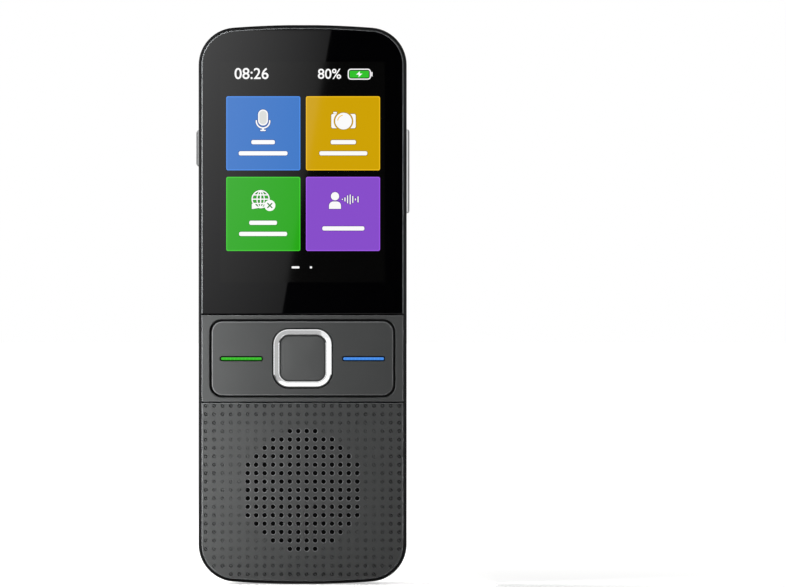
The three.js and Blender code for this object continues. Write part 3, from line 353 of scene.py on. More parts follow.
# %% Moulded and painted finishes
def textured(name, colour, drift, grain, relief, rough, sockets, drift_size=9.0):
    """A finish whose tone drifts between two colours, with grain in its roughness and relief.

    grain and relief are in millimetres, and rough is the lowest and highest roughness."""
    made, tree, shader = new_finish(name, sockets)
    where = add_node(tree, "ShaderNodeTexCoord").outputs["Object"]
    slow = add_node(tree, "ShaderNodeTexNoise",
                    {"Vector": where, "Scale": per_mm(drift_size), "Detail": 3.0})
    fine = add_node(tree, "ShaderNodeTexNoise",
                    {"Vector": where, "Scale": per_mm(grain), "Detail": 4.0, "Roughness": 0.6})
    tone = add_node(tree, "ShaderNodeMixRGB",
                    {"Fac": slow.outputs["Fac"], "Color1": linear(colour), "Color2": linear(drift)})
    gloss = add_node(tree, "ShaderNodeMapRange",
                     {"Value": fine.outputs["Fac"], "From Min": 0.3, "From Max": 0.7,
                      "To Min": rough[0], "To Max": rough[1]})
    height = add_node(tree, "ShaderNodeBump",
                      {"Height": fine.outputs["Fac"], "Strength": 1.0, "Distance": relief * MM})
    tree.links.new(tone.outputs["Color"], shader.inputs["Base Color"])
    tree.links.new(gloss.outputs["Result"], shader.inputs["Roughness"])
    tree.links.new(height.outputs["Normal"], shader.inputs["Normal"])
    return made


PLASTIC = {"IOR": 1.58, "Metallic": 0.0}
LACQUER = {"IOR": 1.50, "Metallic": 0.12}

# Black polycarbonate blend, moulded and lightly polished: a deep black with a soft sheen
housing_black = textured("moulded_polycarbonate_black", "#070708", "#0a0a0b", 0.30, 0.0012,
                         (0.36, 0.48), {**PLASTIC, "Specular IOR Level": 0.22})
# Graphite lacquer on the front panels: fine metal flake under a matt clear coat
graphite_paint = textured("graphite_lacquer", "#3f4040", "#444545", 0.22, 0.0015,
                          (0.42, 0.56), {**LACQUER, "Specular IOR Level": 0.3})
# The home button's lacquer: silkier, and a touch paler as painted light that brightens it
button_lacquer_painted_light = textured("graphite_lacquer_button_painted_light", "#484949", "#4d4e4e", 0.22, 0.0015,
                          (0.34, 0.44), {**LACQUER, "Specular IOR Level": 0.4})
# The same lacquer where the edge is cut through after spraying: paler, with a painted highlight
graphite_edge_painted_highlight = textured("graphite_lacquer_cut_edge_painted_highlight", "#6a6b6c", "#727374", 0.22, 0.0010,
                         (0.30, 0.40), {"IOR": 1.50, "Metallic": 0.35})
# Rear covers, moulded in a spark-eroded mould: an even charcoal that hides fingerprints
cover_charcoal = textured("spark_eroded_polycarbonate", "#323333", "#363737", 0.34, 0.0040,
                          (0.46, 0.60), PLASTIC, drift_size=14.0)
# The camera disc, from a polished mould: smoother, so it carries a soft reflection
disc_charcoal = textured("polished_polycarbonate_charcoal", "#202121", "#232424", 0.30, 0.0008,
                         (0.20, 0.26), PLASTIC, drift_size=14.0)
# Glass-filled nylon of the chassis: coarser, matt, slightly mottled by its fibres
chassis_nylon = textured("glass_filled_nylon", "#262728", "#303132", 0.55, 0.0060,
                         (0.55, 0.72), {"IOR": 1.53, "Metallic": 0.0}, drift_size=4.0)
# Plain black moulding of switches, basket and camera body, and painted shade on walls of gaps
black_moulding_and_painted_gap_shade = textured("moulded_acetal_black_and_painted_gap_shade", "#0d0d0e", "#131314", 0.30, 0.0020,
                       (0.42, 0.58), {"IOR": 1.48, "Metallic": 0.0, "Specular IOR Level": 0.3})
# Silicone rubber of the membrane and the microphone boot: milky grey, soft and matt
silicone = textured("silicone_rubber_grey", "#8f918d", "#9c9e9a", 0.40, 0.0030,
                    (0.62, 0.78), {"IOR": 1.41, "Metallic": 0.0, "Subsurface Weight": 0.15})
# Closed-cell foam of the gasket and pads
foam_black = textured("polyurethane_foam", "#191919", "#242424", 0.18, 0.0300,
                      (0.86, 0.96), {"IOR": 1.50, "Metallic": 0.0}, drift_size=2.0)
# Hard ferrite of the magnet: ground, grey and slightly shiny
ferrite = textured("ground_ferrite", "#343436", "#3e3e40", 0.25, 0.0030,
                   (0.38, 0.52), {"IOR": 2.20, "Metallic": 0.0})
# Polyimide film of the flexes: amber and glossy
amber_film = textured("polyimide_film", "#8f5018", "#a8641f", 0.60, 0.0010,
                      (0.22, 0.32), {"IOR": 1.70, "Metallic": 0.0, "Coat Weight": 0.4})
# Ceramic body of the little lamps, with phosphor over the chip
lamp_ceramic = textured("phosphor_ceramic", "#d9d3ac", "#efeacb", 0.20, 0.0010,
                        (0.40, 0.52), {"IOR": 1.60, "Metallic": 0.0})
print("plastics:", len(bpy.data.materials))

# %% [markdown]
# ## Metals
# The square ring is die-cast zinc with bright chrome. The side buttons are aluminium, bead-blasted
# and anodised, which gives a finer and softer silver. Shields and switches are tin-plated steel.
# A metal keeps the default index, and its character is in its roughness and its slight waviness.

# %% Metal finishes
METAL = {"Metallic": 1.0}
bright_chrome = textured("bright_chrome_plate", "#f2f3f3", "#e9eaea", 0.9, 0.0004,
                         (0.09, 0.13), METAL)
blasted_aluminium = textured("bead_blasted_aluminium", "#dfe0e1", "#d3d4d5", 0.16, 0.0022,
                             (0.30, 0.38), METAL)
tin_plate = textured("tin_plated_steel", "#a9abad", "#989a9c", 0.8, 0.0030,
                     (0.26, 0.38), METAL, drift_size=5.0)
gold_plate = textured("gold_plated_contacts", "#d6b05c", "#c79e48", 0.5, 0.0010,
                      (0.20, 0.28), METAL)
# Anodised aluminium round the lens, its dull oxide taking away most of the metal's glare
lens_grey = textured("anodised_lens_ring", "#7d7e80", "#848587", 0.16, 0.0012,
                     (0.34, 0.44), {"Metallic": 0.3})
# Aluminium foil of the battery pouch, under a dark polymer film
battery_foil = textured("aluminium_pouch_foil", "#2a3036", "#343b42", 1.6, 0.0250,
                        (0.30, 0.42), {"IOR": 1.5, "Metallic": 0.45}, drift_size=6.0)
print("metals added, finishes now:", len(bpy.data.materials))

# %% [markdown]
# ## Glass, lenses and light pipes
# The touch screen is one sheet of chemically hardened glass, printed black on its back. From
# outside it is a perfect black mirror with a fine ground edge, so the sheet is a black glossy body
# and the lit picture lies on it in films a few hundredths of a millimetre thick, each with the
# same gloss. The light bars are tinted acrylic with a lamp behind, so they glow evenly.

# %% Glass and acrylic finishes
GLASS = {"IOR": 1.52, "Metallic": 0.0}
cover_glass = textured("hardened_glass_printed_black", "#020203", "#030304", 6.0, 0.00002,
                       (0.012, 0.018), GLASS)
# The ground edge of the glass: paler than its face, with a painted highlight in its colour
glass_edge_painted_highlight = textured("ground_glass_edge_painted_highlight", "#6c6e70", "#767879", 0.20, 0.0010,
                      (0.24, 0.34), {"IOR": 1.52, "Metallic": 0.2})
lens_glass = textured("coated_lens_glass", "#020204", "#050409", 0.5, 0.00002,
                      (0.02, 0.03), {"IOR": 1.70, "Metallic": 0.0, "Coat Weight": 1.0})
# The screen's real pixels are 0.16 mm, and they are drawn a little coarser
PIXEL = 0.24
MORTAR_SHARE = 0.12


def lit(name, colour, glow, pitch=PIXEL, base="#050505", rough=0.035, strength=1.0):
    """A lit surface under gloss: its light is weaker on the lines between its cells."""
    made, tree, shader = new_finish(name, {**GLASS, "Base Color": linear(base),
                                           "Roughness": rough, "Emission Strength": strength})
    where = add_node(tree, "ShaderNodeTexCoord").outputs["Object"]
    turned = add_node(tree, "ShaderNodeMapping", {"Vector": where, "Rotation": (math.pi / 2, 0, 0)})
    cells = add_node(tree, "ShaderNodeTexBrick",
                     {"Vector": turned.outputs["Vector"], "Scale": 1.0, "Brick Width": pitch * MM,
                      "Row Height": pitch * MM, "Mortar Size": MORTAR_SHARE * pitch * MM,
                      "Color1": linear(colour), "Color2": linear(colour), "Mortar": linear(glow)},
                     offset=0.0)
    tree.links.new(cells.outputs["Color"], shader.inputs["Emission Color"])
    return made


# Light pipes: tinted acrylic with a lamp behind
green_acrylic = lit("green_acrylic_light_pipe", "#2fb21c", "#3cc02a", 0.9, "#0d3a08", 0.22, 0.85)
blue_acrylic = lit("blue_acrylic_light_pipe", "#3f87e2", "#4a92ee", 0.9, "#0a2140", 0.22, 0.95)
# Diffuser over the flash: yellow silicone with phosphor, and a faint painted glow that brightens it
flash_yellow_painted_glow = textured("phosphor_silicone_yellow_painted_glow", "#f6ee7c", "#f3e668", 0.30, 0.0030,
                        (0.36, 0.48), {"IOR": 1.41, "Metallic": 0.0, "Subsurface Weight": 0.2,
                                       "Emission Color": linear("#f6ea6e"),
                                       "Emission Strength": 0.28})
# The liquid-crystal picture. Each tile has a face, a brighter edge and a shade under its sign.
screen_dark = lit("liquid_crystal_dark", "#030303", "#020202")
# The blue and green tiles are a shade darker, painted shade that offsets the pale reflection on
# them
PICTURE = {"blue": [("#3977c7", "#3673c2"), ("#4a90ee", "#4489e6"), ("#1d4a94", "#1b468e")],
           "yellow": [("#d0a303", "#cb9f02"), ("#f8c41e", "#f2be18"), ("#8a6a02", "#856602")],
           "green": [("#25a912", "#23a410"), ("#3fd22c", "#3acb27"), ("#157a0c", "#13750b")],
           "purple": [("#894fcc", "#854bc7"), ("#a55ff0", "#9d58e6"), ("#552a90", "#51278a")]}
tile_face, tile_edge, tile_shade = [
    {name: lit(f"liquid_crystal_{name}{word}", *looks[k]) for name, looks in PICTURE.items()}
    for k, word in enumerate(["", "_edge", "_shade"])]
ink_white = lit("liquid_crystal_white", "#fdfdfd", "#f7f7f7")
ink_grey = lit("liquid_crystal_grey", "#dcdedb", "#d6d8d5")
ink_green = lit("liquid_crystal_charge_green", "#35c22e", "#31bc2a")
print("finishes now:", len(bpy.data.materials))

# %% [markdown]
# ## Woven cloth and circuit board
# Behind the grille lies an acoustic cloth, a plain weave of polyester thread. Two wave textures at
# right angles stand for the threads. The circuit board is glass epoxy under green solder mask,
# with a faint pattern of tracks.

# %% Cloth and board finishes
THREAD = 0.30
WAVE = 6.3
TRACK_PITCH, TRACK_SHARE = 1.6, 0.09
speaker_weave, tree, shader = new_finish("polyester_acoustic_cloth",
                                         {"IOR": 1.5, "Roughness": 0.9, "Sheen Weight": 0.2})
where = add_node(tree, "ShaderNodeTexCoord").outputs["Object"]
warp, weft = [add_node(tree, "ShaderNodeTexWave", {"Vector": where, "Scale": per_mm(THREAD) / WAVE},
                       bands_direction=axis) for axis in "XZ"]
crossing = add_node(tree, "ShaderNodeMath", {0: warp.outputs["Fac"], 1: weft.outputs["Fac"]},
                    operation="MULTIPLY").outputs["Value"]
tone = add_node(tree, "ShaderNodeMixRGB", {"Fac": crossing, "Color1": linear("#020202"),
                                           "Color2": linear("#0e0e0e")})
relief = add_node(tree, "ShaderNodeBump", {"Height": crossing, "Distance": 0.04 * MM})
tree.links.new(tone.outputs["Color"], shader.inputs["Base Color"])
tree.links.new(relief.outputs["Normal"], shader.inputs["Normal"])

board_green, tree, shader = new_finish("glass_epoxy_board",
                                       {"IOR": 1.55, "Roughness": 0.38, "Coat Weight": 0.3})
where = add_node(tree, "ShaderNodeTexCoord").outputs["Object"]
tracks = add_node(tree, "ShaderNodeTexVoronoi", {"Vector": where, "Scale": per_mm(TRACK_PITCH)},
                  distance="MANHATTAN", feature="DISTANCE_TO_EDGE")
line = add_node(tree, "ShaderNodeMath", {0: tracks.outputs["Distance"], 1: TRACK_SHARE},
                operation="LESS_THAN")
tone = add_node(tree, "ShaderNodeMixRGB", {"Fac": line.outputs["Value"],
                                           "Color1": linear("#0e4a33"),
                                           "Color2": linear("#1a6a48")})
tree.links.new(tone.outputs["Color"], shader.inputs["Base Color"])
print("cloth and board ready, thread pitch", THREAD, "mm")

# %% [markdown]
# ## Side band
# The front housing is one black moulding. What shows is its side band: a flat wall with a small
# elliptical round towards the glass and another towards the rear covers. A closed profile of
# insets and depths, drawn round the outline, gives the wall, the rounds, the ledge that the glass
# sits on and the step that the covers sit on. Then the openings for the two side buttons, the
# connector and the microphone are cut, each with a small chamfer at its mouth.

# %% Side band of the housing
FIT = 0.05
WALL = 1.6
FRONT_INSET, FRONT_ROUND, LIP = 0.7, 1.4, 0.1
REAR_INSET, REAR_ROUND, RIM = 0.95, 1.2, 8.9
THICKNESS = 1.1
LEDGE = FRONT_INSET + 1.5
WEB_FRONT, WEB_BACK = 3.3, 4.1


def quarter(start, end, steps=9):
    """Points (inset, depth) on a quarter ellipse that leaves its start along the depth."""
    turns = [math.pi / 2 * k / steps for k in range(steps + 1)]
    return [(start[0] + (end[0] - start[0]) * (1 - math.cos(a)),
             start[1] + (end[1] - start[1]) * math.sin(a)) for a in turns]


band_profile = (
    list(reversed(quarter((0, FRONT_ROUND), (FRONT_INSET - 0.04, LIP))))
    + quarter((0, RIM - REAR_ROUND), (REAR_INSET, RIM))
    + [(WALL - 0.1, RIM), (WALL, RIM - 0.1), (WALL, WEB_BACK), (LEDGE, WEB_BACK),
       (LEDGE, THICKNESS + FIT), (FRONT_INSET, THICKNESS + FIT), (FRONT_INSET, LIP + 0.06)]
)
band = Shape()
band.hoop([band.ring(outline(inset), depth) for inset, depth in band_profile])
side_band = make_piece("housing_side_band", band, "handset", [housing_black], ["front_housing"])

# %% Openings in the side band
BOARD_MIDDLE = 5.35
BUTTON_HEIGHT = 2.3
SLIDING = 0.2
POWER_LENGTH, POWER_Z = 8.6, 103.8
VOLUME_LENGTH, VOLUME_Z = 20.0, 98.3
USB_DEPTH = 5.95
USB_WIDTH, USB_HEIGHT, USB_RECESS, USB_LENGTH = 8.95, 3.2, 0.35, 7.35
MIC_X, MIC_DEPTH, MIC_RADIUS = 9.0, 6.3, 0.5
SIDE_MOUTH = [(26.0, 0.5), (HALF_WIDTH + 0.02, 0.14), (HALF_WIDTH - 0.14, 0.0), (22.0, 0.0)]
END_MOUTH = [(-1.0, 0.9), (0.0, 0.16), (0.16, 0.0), (4.0, 0.0)]


def side_opening(side, length, z):
    """A slot through the side wall, wider at its mouth."""
    size = BUTTON_HEIGHT + 2 * SLIDING, length + 2 * SLIDING, 0.35
    shape, rings = Shape(), []
    for x, grow in SIDE_MOUTH:
        loop = grown(size, grow, BOARD_MIDDLE, z, 5)
        rings.append(shape.add_points([(side * x, d, h) for d, h in loop]))
    shape.stack(rings)
    return shape


def end_opening(loop_of, centre_depth):
    """A hole up into the bottom end, with a chamfered mouth."""
    shape = Shape()
    shape.stack([shape.add_points([(x, centre_depth + d, z) for x, d in loop_of(grow)])
                 for z, grow in END_MOUTH])
    return shape


def usb_loop(grow):
    half = USB_HEIGHT / 2 + SLIDING - FIT
    return rounded(USB_WIDTH + 2 * (SLIDING + grow), USB_HEIGHT + 2 * (SLIDING + grow), half + grow)


cut_away(side_band, [
    side_opening(-1, POWER_LENGTH, POWER_Z),
    side_opening(1, VOLUME_LENGTH, VOLUME_Z),
    end_opening(usb_loop, USB_DEPTH),
    end_opening(lambda grow: circle(MIC_RADIUS + grow, MIC_X, 0, 24), MIC_DEPTH),
])

# %% Web across the housing
SPEAKER_Z, SPEAKER_RADIUS = 22.45, 15.0
KEY_Z = 53.725
SWITCH_HOLE, KEY_SWITCH_X, KEY_SWITCH_DROP = 1.8, 13.05, 5.2
web = Shape()
web_edge = web.wall(outline(FRONT_INSET + 0.75), WEB_FRONT, WEB_BACK)
web_holes = [web.wall(loop, WEB_FRONT, WEB_BACK) for loop in (
    circle(SPEAKER_RADIUS + 0.45, 0, SPEAKER_Z), circle(SWITCH_HOLE, 0, KEY_Z, 24),
    circle(SWITCH_HOLE, -KEY_SWITCH_X, KEY_Z - KEY_SWITCH_DROP, 24),
    circle(SWITCH_HOLE, KEY_SWITCH_X, KEY_Z - KEY_SWITCH_DROP, 24))]
for k in (0, 1):
    web.fill(web_edge[k], [hole[k] for hole in web_holes])
make_piece("housing_web", web, "handset", [housing_black], ["front_housing"])

# %% [markdown]
# ## Glass and front panels
# The glass, the strip round the keys and the grille share one outline and one thickness. Each is a
# slice of it, with a narrow chamfer where it meets the band and a tiny round at the straight cuts.
# The chamfer has a finish of its own: a ground or cut edge is paler than the face, and its colour
# also carries a painted highlight.

# %% Slices of the front
PANEL_INSET, CHAMFER = 0.75, 0.21
SEAM = 0.17
GLASS_LOW, GRILLE_HIGH = 64.15, 43.3
CUT_REACH = 0.2
# Each step is how far in from the outline, how far in from a straight cut, and how deep
SLICE_STEPS = [(CHAMFER + 0.02, 0.12, 0.0), (CHAMFER - 0.03, 0.07, 0.015),
               (0.05, 0.02, CHAMFER - 0.05), (0.0, 0.0, CHAMFER + 0.02), (0.0, 0.0, THICKNESS)]


def front_slice(shape, low=None, high=None, cut_slot=1):
    """Face edge, chamfer and wall of one front panel. Returns its first and last ring."""
    rings = []
    for grow, cut, depth in SLICE_STEPS:
        loop = panel_loop(PANEL_INSET + grow, low and low + cut, high and high - cut)
        rings.append(shape.ring(loop, depth))
    start = len(shape.faces)
    shape.stack(rings[:4], slot=1, close=False)
    for k in range(start, len(shape.faces)):
        heights = [shape.points[i][2] for i in shape.faces[k]]
        near = any(v is not None and abs(heights[0] - v) < CUT_REACH for v in (low, high))
        if near and max(heights) - min(heights) < CUT_REACH:
            shape.slots[k] = cut_slot
    shape.strip(rings[3], rings[4])
    return rings[0], rings[-1]


glass = Shape()
for ring in front_slice(glass, low=GLASS_LOW + SEAM, cut_slot=0):
    glass.fill(ring)
make_piece("cover_glass", glass, "handset", [cover_glass, glass_edge_painted_highlight], ["touch_glass"])

# %% Strip round the keys
HOLE_SIZE = 44.16, 18.61, 3.0
surround = Shape()
surround_front, surround_back = front_slice(surround, GRILLE_HIGH + SEAM, GLASS_LOW - SEAM)
edge_steps = [(0.20, 0.0), (0.10, 0.03), (0.03, 0.10), (0.0, 0.20), (0.0, THICKNESS)]
opening = surround.rounds(HOLE_SIZE, edge_steps, 0, KEY_Z, 12)
surround.stack(opening[:4], close=False)
# The opening's wall is bare black moulding, which also serves as painted shade in the gap
surround.strip(opening[3], opening[4], slot=2)
surround.fill(surround_front, [opening[0]])
surround.fill(surround_back, [opening[-1]])
make_piece("key_surround_strip", surround, "handset", [graphite_paint, graphite_edge_painted_highlight, black_moulding_and_painted_gap_shade],
           ["key_surround"])

# %% [markdown]
# ## Grille
# The grille panel has a square grid of holes 2 mm apart over its whole face. Inside a circle over
# the loudspeaker they go right through. Outside it they are shallow dimples, moulded only for the
# look. All of them are real geometry: through holes have a cut rim, made bright partly by a paler
# finish that is a painted highlight, and a straight bore, and a dimple is a ring-shaped groove
# round a small boss. The grooves are deepest at the border.

# %% Grille panel
PITCH, BORE, FIELD = 2.0, 0.56, 14.6
ROWS = 10
BORE_STEPS = [(BORE + 0.13, 0.0), (BORE + 0.02, 0.035), (BORE - 0.02, 0.10),
              (BORE - 0.02, THICKNESS)]
DIMPLE_STEPS = [(0.47, 0.0), (0.43, 0.5), (0.38, 1.0), (0.28, 1.0), (0.23, 0.5), (0.18, 0.0)]
DIMPLE_LEAST, DIMPLE_MORE = 0.10, 0.24
grille = Shape()
grille_front, grille_back = front_slice(grille, high=GRILLE_HIGH - SEAM)
through, dimples = [], []
for row in range(-ROWS, ROWS + 1):
    span = 12 if row > -8 else 11 if row > -10 else 9
    for column in range(-span, span):
        x, z = (column + 0.5) * PITCH, row * PITCH
        (through if math.hypot(x, z) <= FIELD else dimples).append((x, SPEAKER_Z + z))
front_holes, back_holes = [], []
for x, z in through:
    rings = grille.turns(BORE_STEPS, x, z, 16)
    grille.stack(rings[:3], slot=1, close=False)
    grille.strip(rings[2], rings[3])
    front_holes.append(rings[0])
    back_holes.append(rings[-1])
for x, z in dimples:
    row, column = (z - SPEAKER_Z) / PITCH, abs(x) / PITCH + 0.5
    inward = min(ROWS - row, ROWS + row, 12 - column)
    deep = DIMPLE_LEAST + DIMPLE_MORE * max(0.0, 1 - inward / 3) ** 1.5
    rings = grille.turns([(radius, deep * share) for radius, share in DIMPLE_STEPS], x, z, 12)
    grille.stack(rings, close=False)
    grille.cap(rings[-1])
    front_holes.append(rings[0])
grille.fill(grille_front, front_holes)
grille.fill(grille_back, back_holes)
make_piece("grille_face", grille, "handset", [graphite_paint, graphite_edge_painted_highlight], ["grille_panel"])
print("open holes:", len(through), " dimples:", len(dimples))

# %% Cloth behind the grille
cloth = Shape()
cloth.stack(cloth.turns([(15.3, 1.16), (15.4, 1.20), (15.4, 1.36), (15.3, 1.40)], 0, SPEAKER_Z, 72))
make_piece("acoustic_cloth", cloth, "handset", [speaker_weave], ["speaker_cloth"])

# %% [markdown]
# ## Keys
# The key plate is one rounded plate that rocks left and right. It has a slot for each light bar
# and a square hole for the ring. Its rounded edges catch a fine light line beside the black gap,
# made brighter by a paler finish that is a painted highlight, and its walls are black moulding,
# painted shade that keeps the gap black. The ring is cast: its face slopes gently down to the
# outside, so its sides look to different parts of the room and each has its own brightness. The
# button inside it is domed.

# %% Key plate
PLATE_SIZE, PLATE_DEPTH = (43.12, 17.57, 2.6), 2.1
RING_WIDTH, RING_CORNER, RING_GAP = 13.84, 3.65, 0.28
RING_HOLE = RING_WIDTH + 2 * RING_GAP
SLOT_X, SLOT_LENGTH, SLOT_HEIGHT = 14.525, 10.3, 1.22
SLOT_SIZE = SLOT_LENGTH, SLOT_HEIGHT, SLOT_HEIGHT / 2 - FIT
SLOT_Z = KEY_Z - 0.08
plate_steps = [(-0.24, 0.0), (-0.13, 0.03), (-0.04, 0.10), (0.0, 0.24), (0.0, 1.7), (0.7, 1.7),
               (0.7, PLATE_DEPTH)]
mouth = [(0.05, 0.0), (0.02, 0.015), (0.0, 0.05), (0.0, PLATE_DEPTH)]
plate = Shape()
plate_edge = plate.rounds(PLATE_SIZE, plate_steps, 0, KEY_Z, 12)
plate.stack(plate_edge[:4], slot=1, close=False)
# Below the rounded edge the plate is bare black moulding, also painted shade that keeps the gap
# black
plate.stack(plate_edge[3:], slot=2, close=False)
plate_openings = []
for x, z, size in [(0, KEY_Z, (RING_HOLE, RING_HOLE, RING_CORNER + RING_GAP)),
                   (-SLOT_X, SLOT_Z, SLOT_SIZE), (SLOT_X, SLOT_Z, SLOT_SIZE)]:
    rings = plate.rounds(size, mouth, x, z, 10)
    plate.stack(rings[:3], close=False)
    # The walls of the openings are black too, painted shade round the ring and the light bars
    plate.strip(rings[2], rings[3], slot=2)
    plate_openings.append(rings)
plate.fill(plate_edge[0], [rings[0] for rings in plate_openings])
plate.fill(plate_edge[-1], [rings[-1] for rings in plate_openings], slot=2)
make_piece("key_plate_cap", plate, "key_plate", [graphite_paint, graphite_edge_painted_highlight, black_moulding_and_painted_gap_shade],
           ["key_plate"])

# %% Light bars
LIGHT_BAR_SIZE = 9.7, 0.66, 0.325
bar_steps = [(-0.22, 0.03), (-0.12, 0.06), (-0.03, 0.14), (0.0, 0.28), (0.0, 2.15), (0.6, 2.15),
             (0.6, 2.4)]
for side, finish, colour in [(-1, green_acrylic, "green"), (1, blue_acrylic, "blue")]:
    bar = Shape()
    rings = bar.rounds(LIGHT_BAR_SIZE, bar_steps, side * SLOT_X, SLOT_Z)
    bar.stack(rings[:4], close=False)
    bar.cap(rings[0])
    # Below its rounded top the lens is black, a painted shade that keeps its slot dark
    bar.stack(rings[3:], slot=1, close=False)
    bar.cap(rings[-1], slot=1)
    make_piece(f"{colour}_light_bar_lens", bar, "key_plate", [finish, black_moulding_and_painted_gap_shade],
               [f"{colour}_light_bar"])

# %% Bright ring
# Each step is how far in from the ring's outer edge, and how deep: less than nothing is proud
ring_profile = [(0.0, 1.6), (0.0, 0.06), (0.015, 0.02), (0.05, 0.0), (0.23, -0.088), (0.27, -0.10),
                (1.14, -0.270), (1.18, -0.276), (1.22, -0.270), (1.40, -0.176), (1.43, -0.15),
                (1.45, -0.11), (1.45, 1.6)]
ring = Shape()
ring.hoop(ring.rounds((RING_WIDTH, RING_WIDTH, RING_CORNER), [(-g, d) for g, d in ring_profile],
                      0, KEY_Z, 16))
make_piece("home_ring_chrome", ring, "handset", [bright_chrome], ["home_ring"],
           sharp=40)

# %% Home button
BUTTON_WIDTH, BUTTON_CORNER, DOME_CORNER_SHARE = 10.76, 2.08, 0.34
button_steps = [(-5.0, -0.270), (-4.2, -0.256), (-3.4, -0.225), (-2.6, -0.177), (-1.8, -0.114),
                (-1.1, -0.046), (-0.5, 0.025), (-0.24, 0.07), (-0.10, 0.13), (-0.02, 0.20),
                (0.0, 0.30), (0.0, 1.65), (0.72, 1.65), (0.72, 2.05)]
button, rings = Shape(), []
for grow, depth in button_steps:
    width = BUTTON_WIDTH + 2 * grow
    corner = max(BUTTON_CORNER + grow, DOME_CORNER_SHARE * (BUTTON_WIDTH / 2 + grow))
    rings.append(button.ring(rounded(width, width, corner, 0, KEY_Z, 12), depth))
button.stack(rings)
make_piece("home_button_cap", button, "home_button", [button_lacquer_painted_light], ["home_button"])

# %% [markdown]
# ## Side buttons
# The power button and the volume rocker are small aluminium bars with chamfered ends, proud of the
# wall by about half a millimetre. Each is drawn as loops across the bar, from the flange that holds
# it in the housing to its outer face.

# %% Power button and volume rocker
FLANGE_IN, FLANGE_OUT, CAP_OUT = 22.2, 22.7, 25.4
# Each step is a place across the bar, and how much thicker and longer the button is there
CAP_STEPS = [(FLANGE_IN, 0.0, 0.8), (FLANGE_OUT, 0.0, 0.8), (FLANGE_OUT, 0.0, 0.0),
             (CAP_OUT - 0.95, 0.0, 0.0), (CAP_OUT - 0.28, -0.10, -0.06),
             (CAP_OUT - 0.24, -0.12, -0.10), (CAP_OUT - 0.04, -0.30, -0.42),
             (CAP_OUT, -0.36, -0.50)]
for side, length, z, node in [(-1, POWER_LENGTH, POWER_Z, "power_button"),
                              (1, VOLUME_LENGTH, VOLUME_Z, "volume_rocker")]:
    cap, rings = Shape(), []
    for x, thicker, longer in CAP_STEPS:
        loop = rounded(BUTTON_HEIGHT + 2 * thicker, length + 2 * longer, 0.32 + thicker / 2,
                       BOARD_MIDDLE, z, 6)
        rings.append(cap.add_points([(side * x, d, h) for d, h in loop]))
    cap.stack(rings)
    make_piece(node + "_cap", cap, node, [blasted_aluminium], [node], sharp=20)

# %% [markdown]
# ## Connector
# The charging port is a drawn steel sleeve with a thin tongue inside it, which carries two rows of
# gold contacts. It sits a little back in its hole.

# %% Port sleeve and tongue
port = Shape()


def lengthwise(loops, slot=0):
    """A closed stack of loops across the bar, each with its height."""
    port.stack([port.add_points([(x, d, z) for x, d in loop]) for loop, z in loops], slot)


SLEEVE_SIZE = USB_WIDTH, USB_HEIGHT, USB_HEIGHT / 2 - FIT
USB_END = USB_RECESS + USB_LENGTH
CONTACTS, CONTACT_PITCH = 12, 0.5
lengthwise([(grown(SLEEVE_SIZE, grow, 0, USB_DEPTH, 10), z) for grow, z in [
    (0.0, USB_END), (0.0, USB_RECESS + 0.08), (-0.08, USB_RECESS), (-0.22, USB_RECESS),
    (-0.30, USB_RECESS + 0.08), (-0.30, USB_END - 0.8)]])
lengthwise([(rounded(6.7 + 2 * grow, 0.7 + 2 * grow, 0.12, 0, USB_DEPTH, 3), z) for grow, z in [
    (-0.12, USB_RECESS + 0.6), (0.0, USB_RECESS + 0.72), (0.0, USB_END - 0.6)]], slot=1)
for side in (-1, 1):
    for k in range(CONTACTS):
        x = (k - (CONTACTS - 1) / 2) * CONTACT_PITCH
        loop = rounded(0.25, 0.05, 0.02, x, USB_DEPTH + side * 0.37, 2)
        lengthwise([(loop, USB_RECESS + 0.95), (loop, USB_RECESS + 5.0)], slot=2)
make_piece("charging_port", port, "handset", [tin_plate, black_moulding_and_painted_gap_shade, gold_plate], ["usb_port"])

# %% [markdown]
# ## The lit screen
# The picture is built like printed film: a dark panel, four coloured tiles on it, and white signs
# on the tiles, each layer a hundredth of a millimetre above the last. The signs are plain ones of
# this lesson's own: a microphone, a camera, a globe and a figure with sound bars, with bars in
# place of words. Each sign is drawn twice, once slightly larger in a darker shade beneath, which
# gives it a crisp edge.

# %% Layers of the picture
LAYER = 0.010


def flat_piece(name, loops, level, finish, thickness=0.008):
    """Closed thin films from one or more loops, on a level above the glass."""
    film = Shape()
    front = -level * LAYER
    for loop in loops:
        outer, *holes = loop if isinstance(loop[0], list) else [loop]
        edge, *inner = [film.wall(border, front, front + thickness) for border in (outer, *holes)]
        for k in (0, 1):
            film.fill(edge[k], [rings[k] for rings in inner])
    make_piece(name, film, "handset", [finish], [])


def ribbon(path, width):
    """A closed loop round an open line of points, with rounded ends."""
    half, left, right = width / 2, [], []
    for k, (x, z) in enumerate(path):
        before, after = path[max(k - 1, 0)], path[min(k + 1, len(path) - 1)]
        dx, dz = after[0] - before[0], after[1] - before[1]
        size = math.hypot(dx, dz)
        nx, nz = -dz / size * half, dx / size * half
        left.append((x + nx, z + nz))
        right.append((x - nx, z - nz))
    tips = []
    for (x, z), (ax, az) in ((path[-1], left[-1]), (path[0], right[0])):
        start = math.atan2(az - z, ax - x)
        turns = [start - math.pi * k / 6 for k in range(1, 6)]
        tips.append([(x + half * math.cos(a), z + half * math.sin(a)) for a in turns])
    return left + tips[0] + list(reversed(right)) + tips[1]


def arc(x, z, radius, start, end, steps=20):
    turns = [math.radians(start + (end - start) * k / steps) for k in range(steps + 1)]
    return [(x + radius * math.cos(a), z + radius * math.sin(a)) for a in turns]


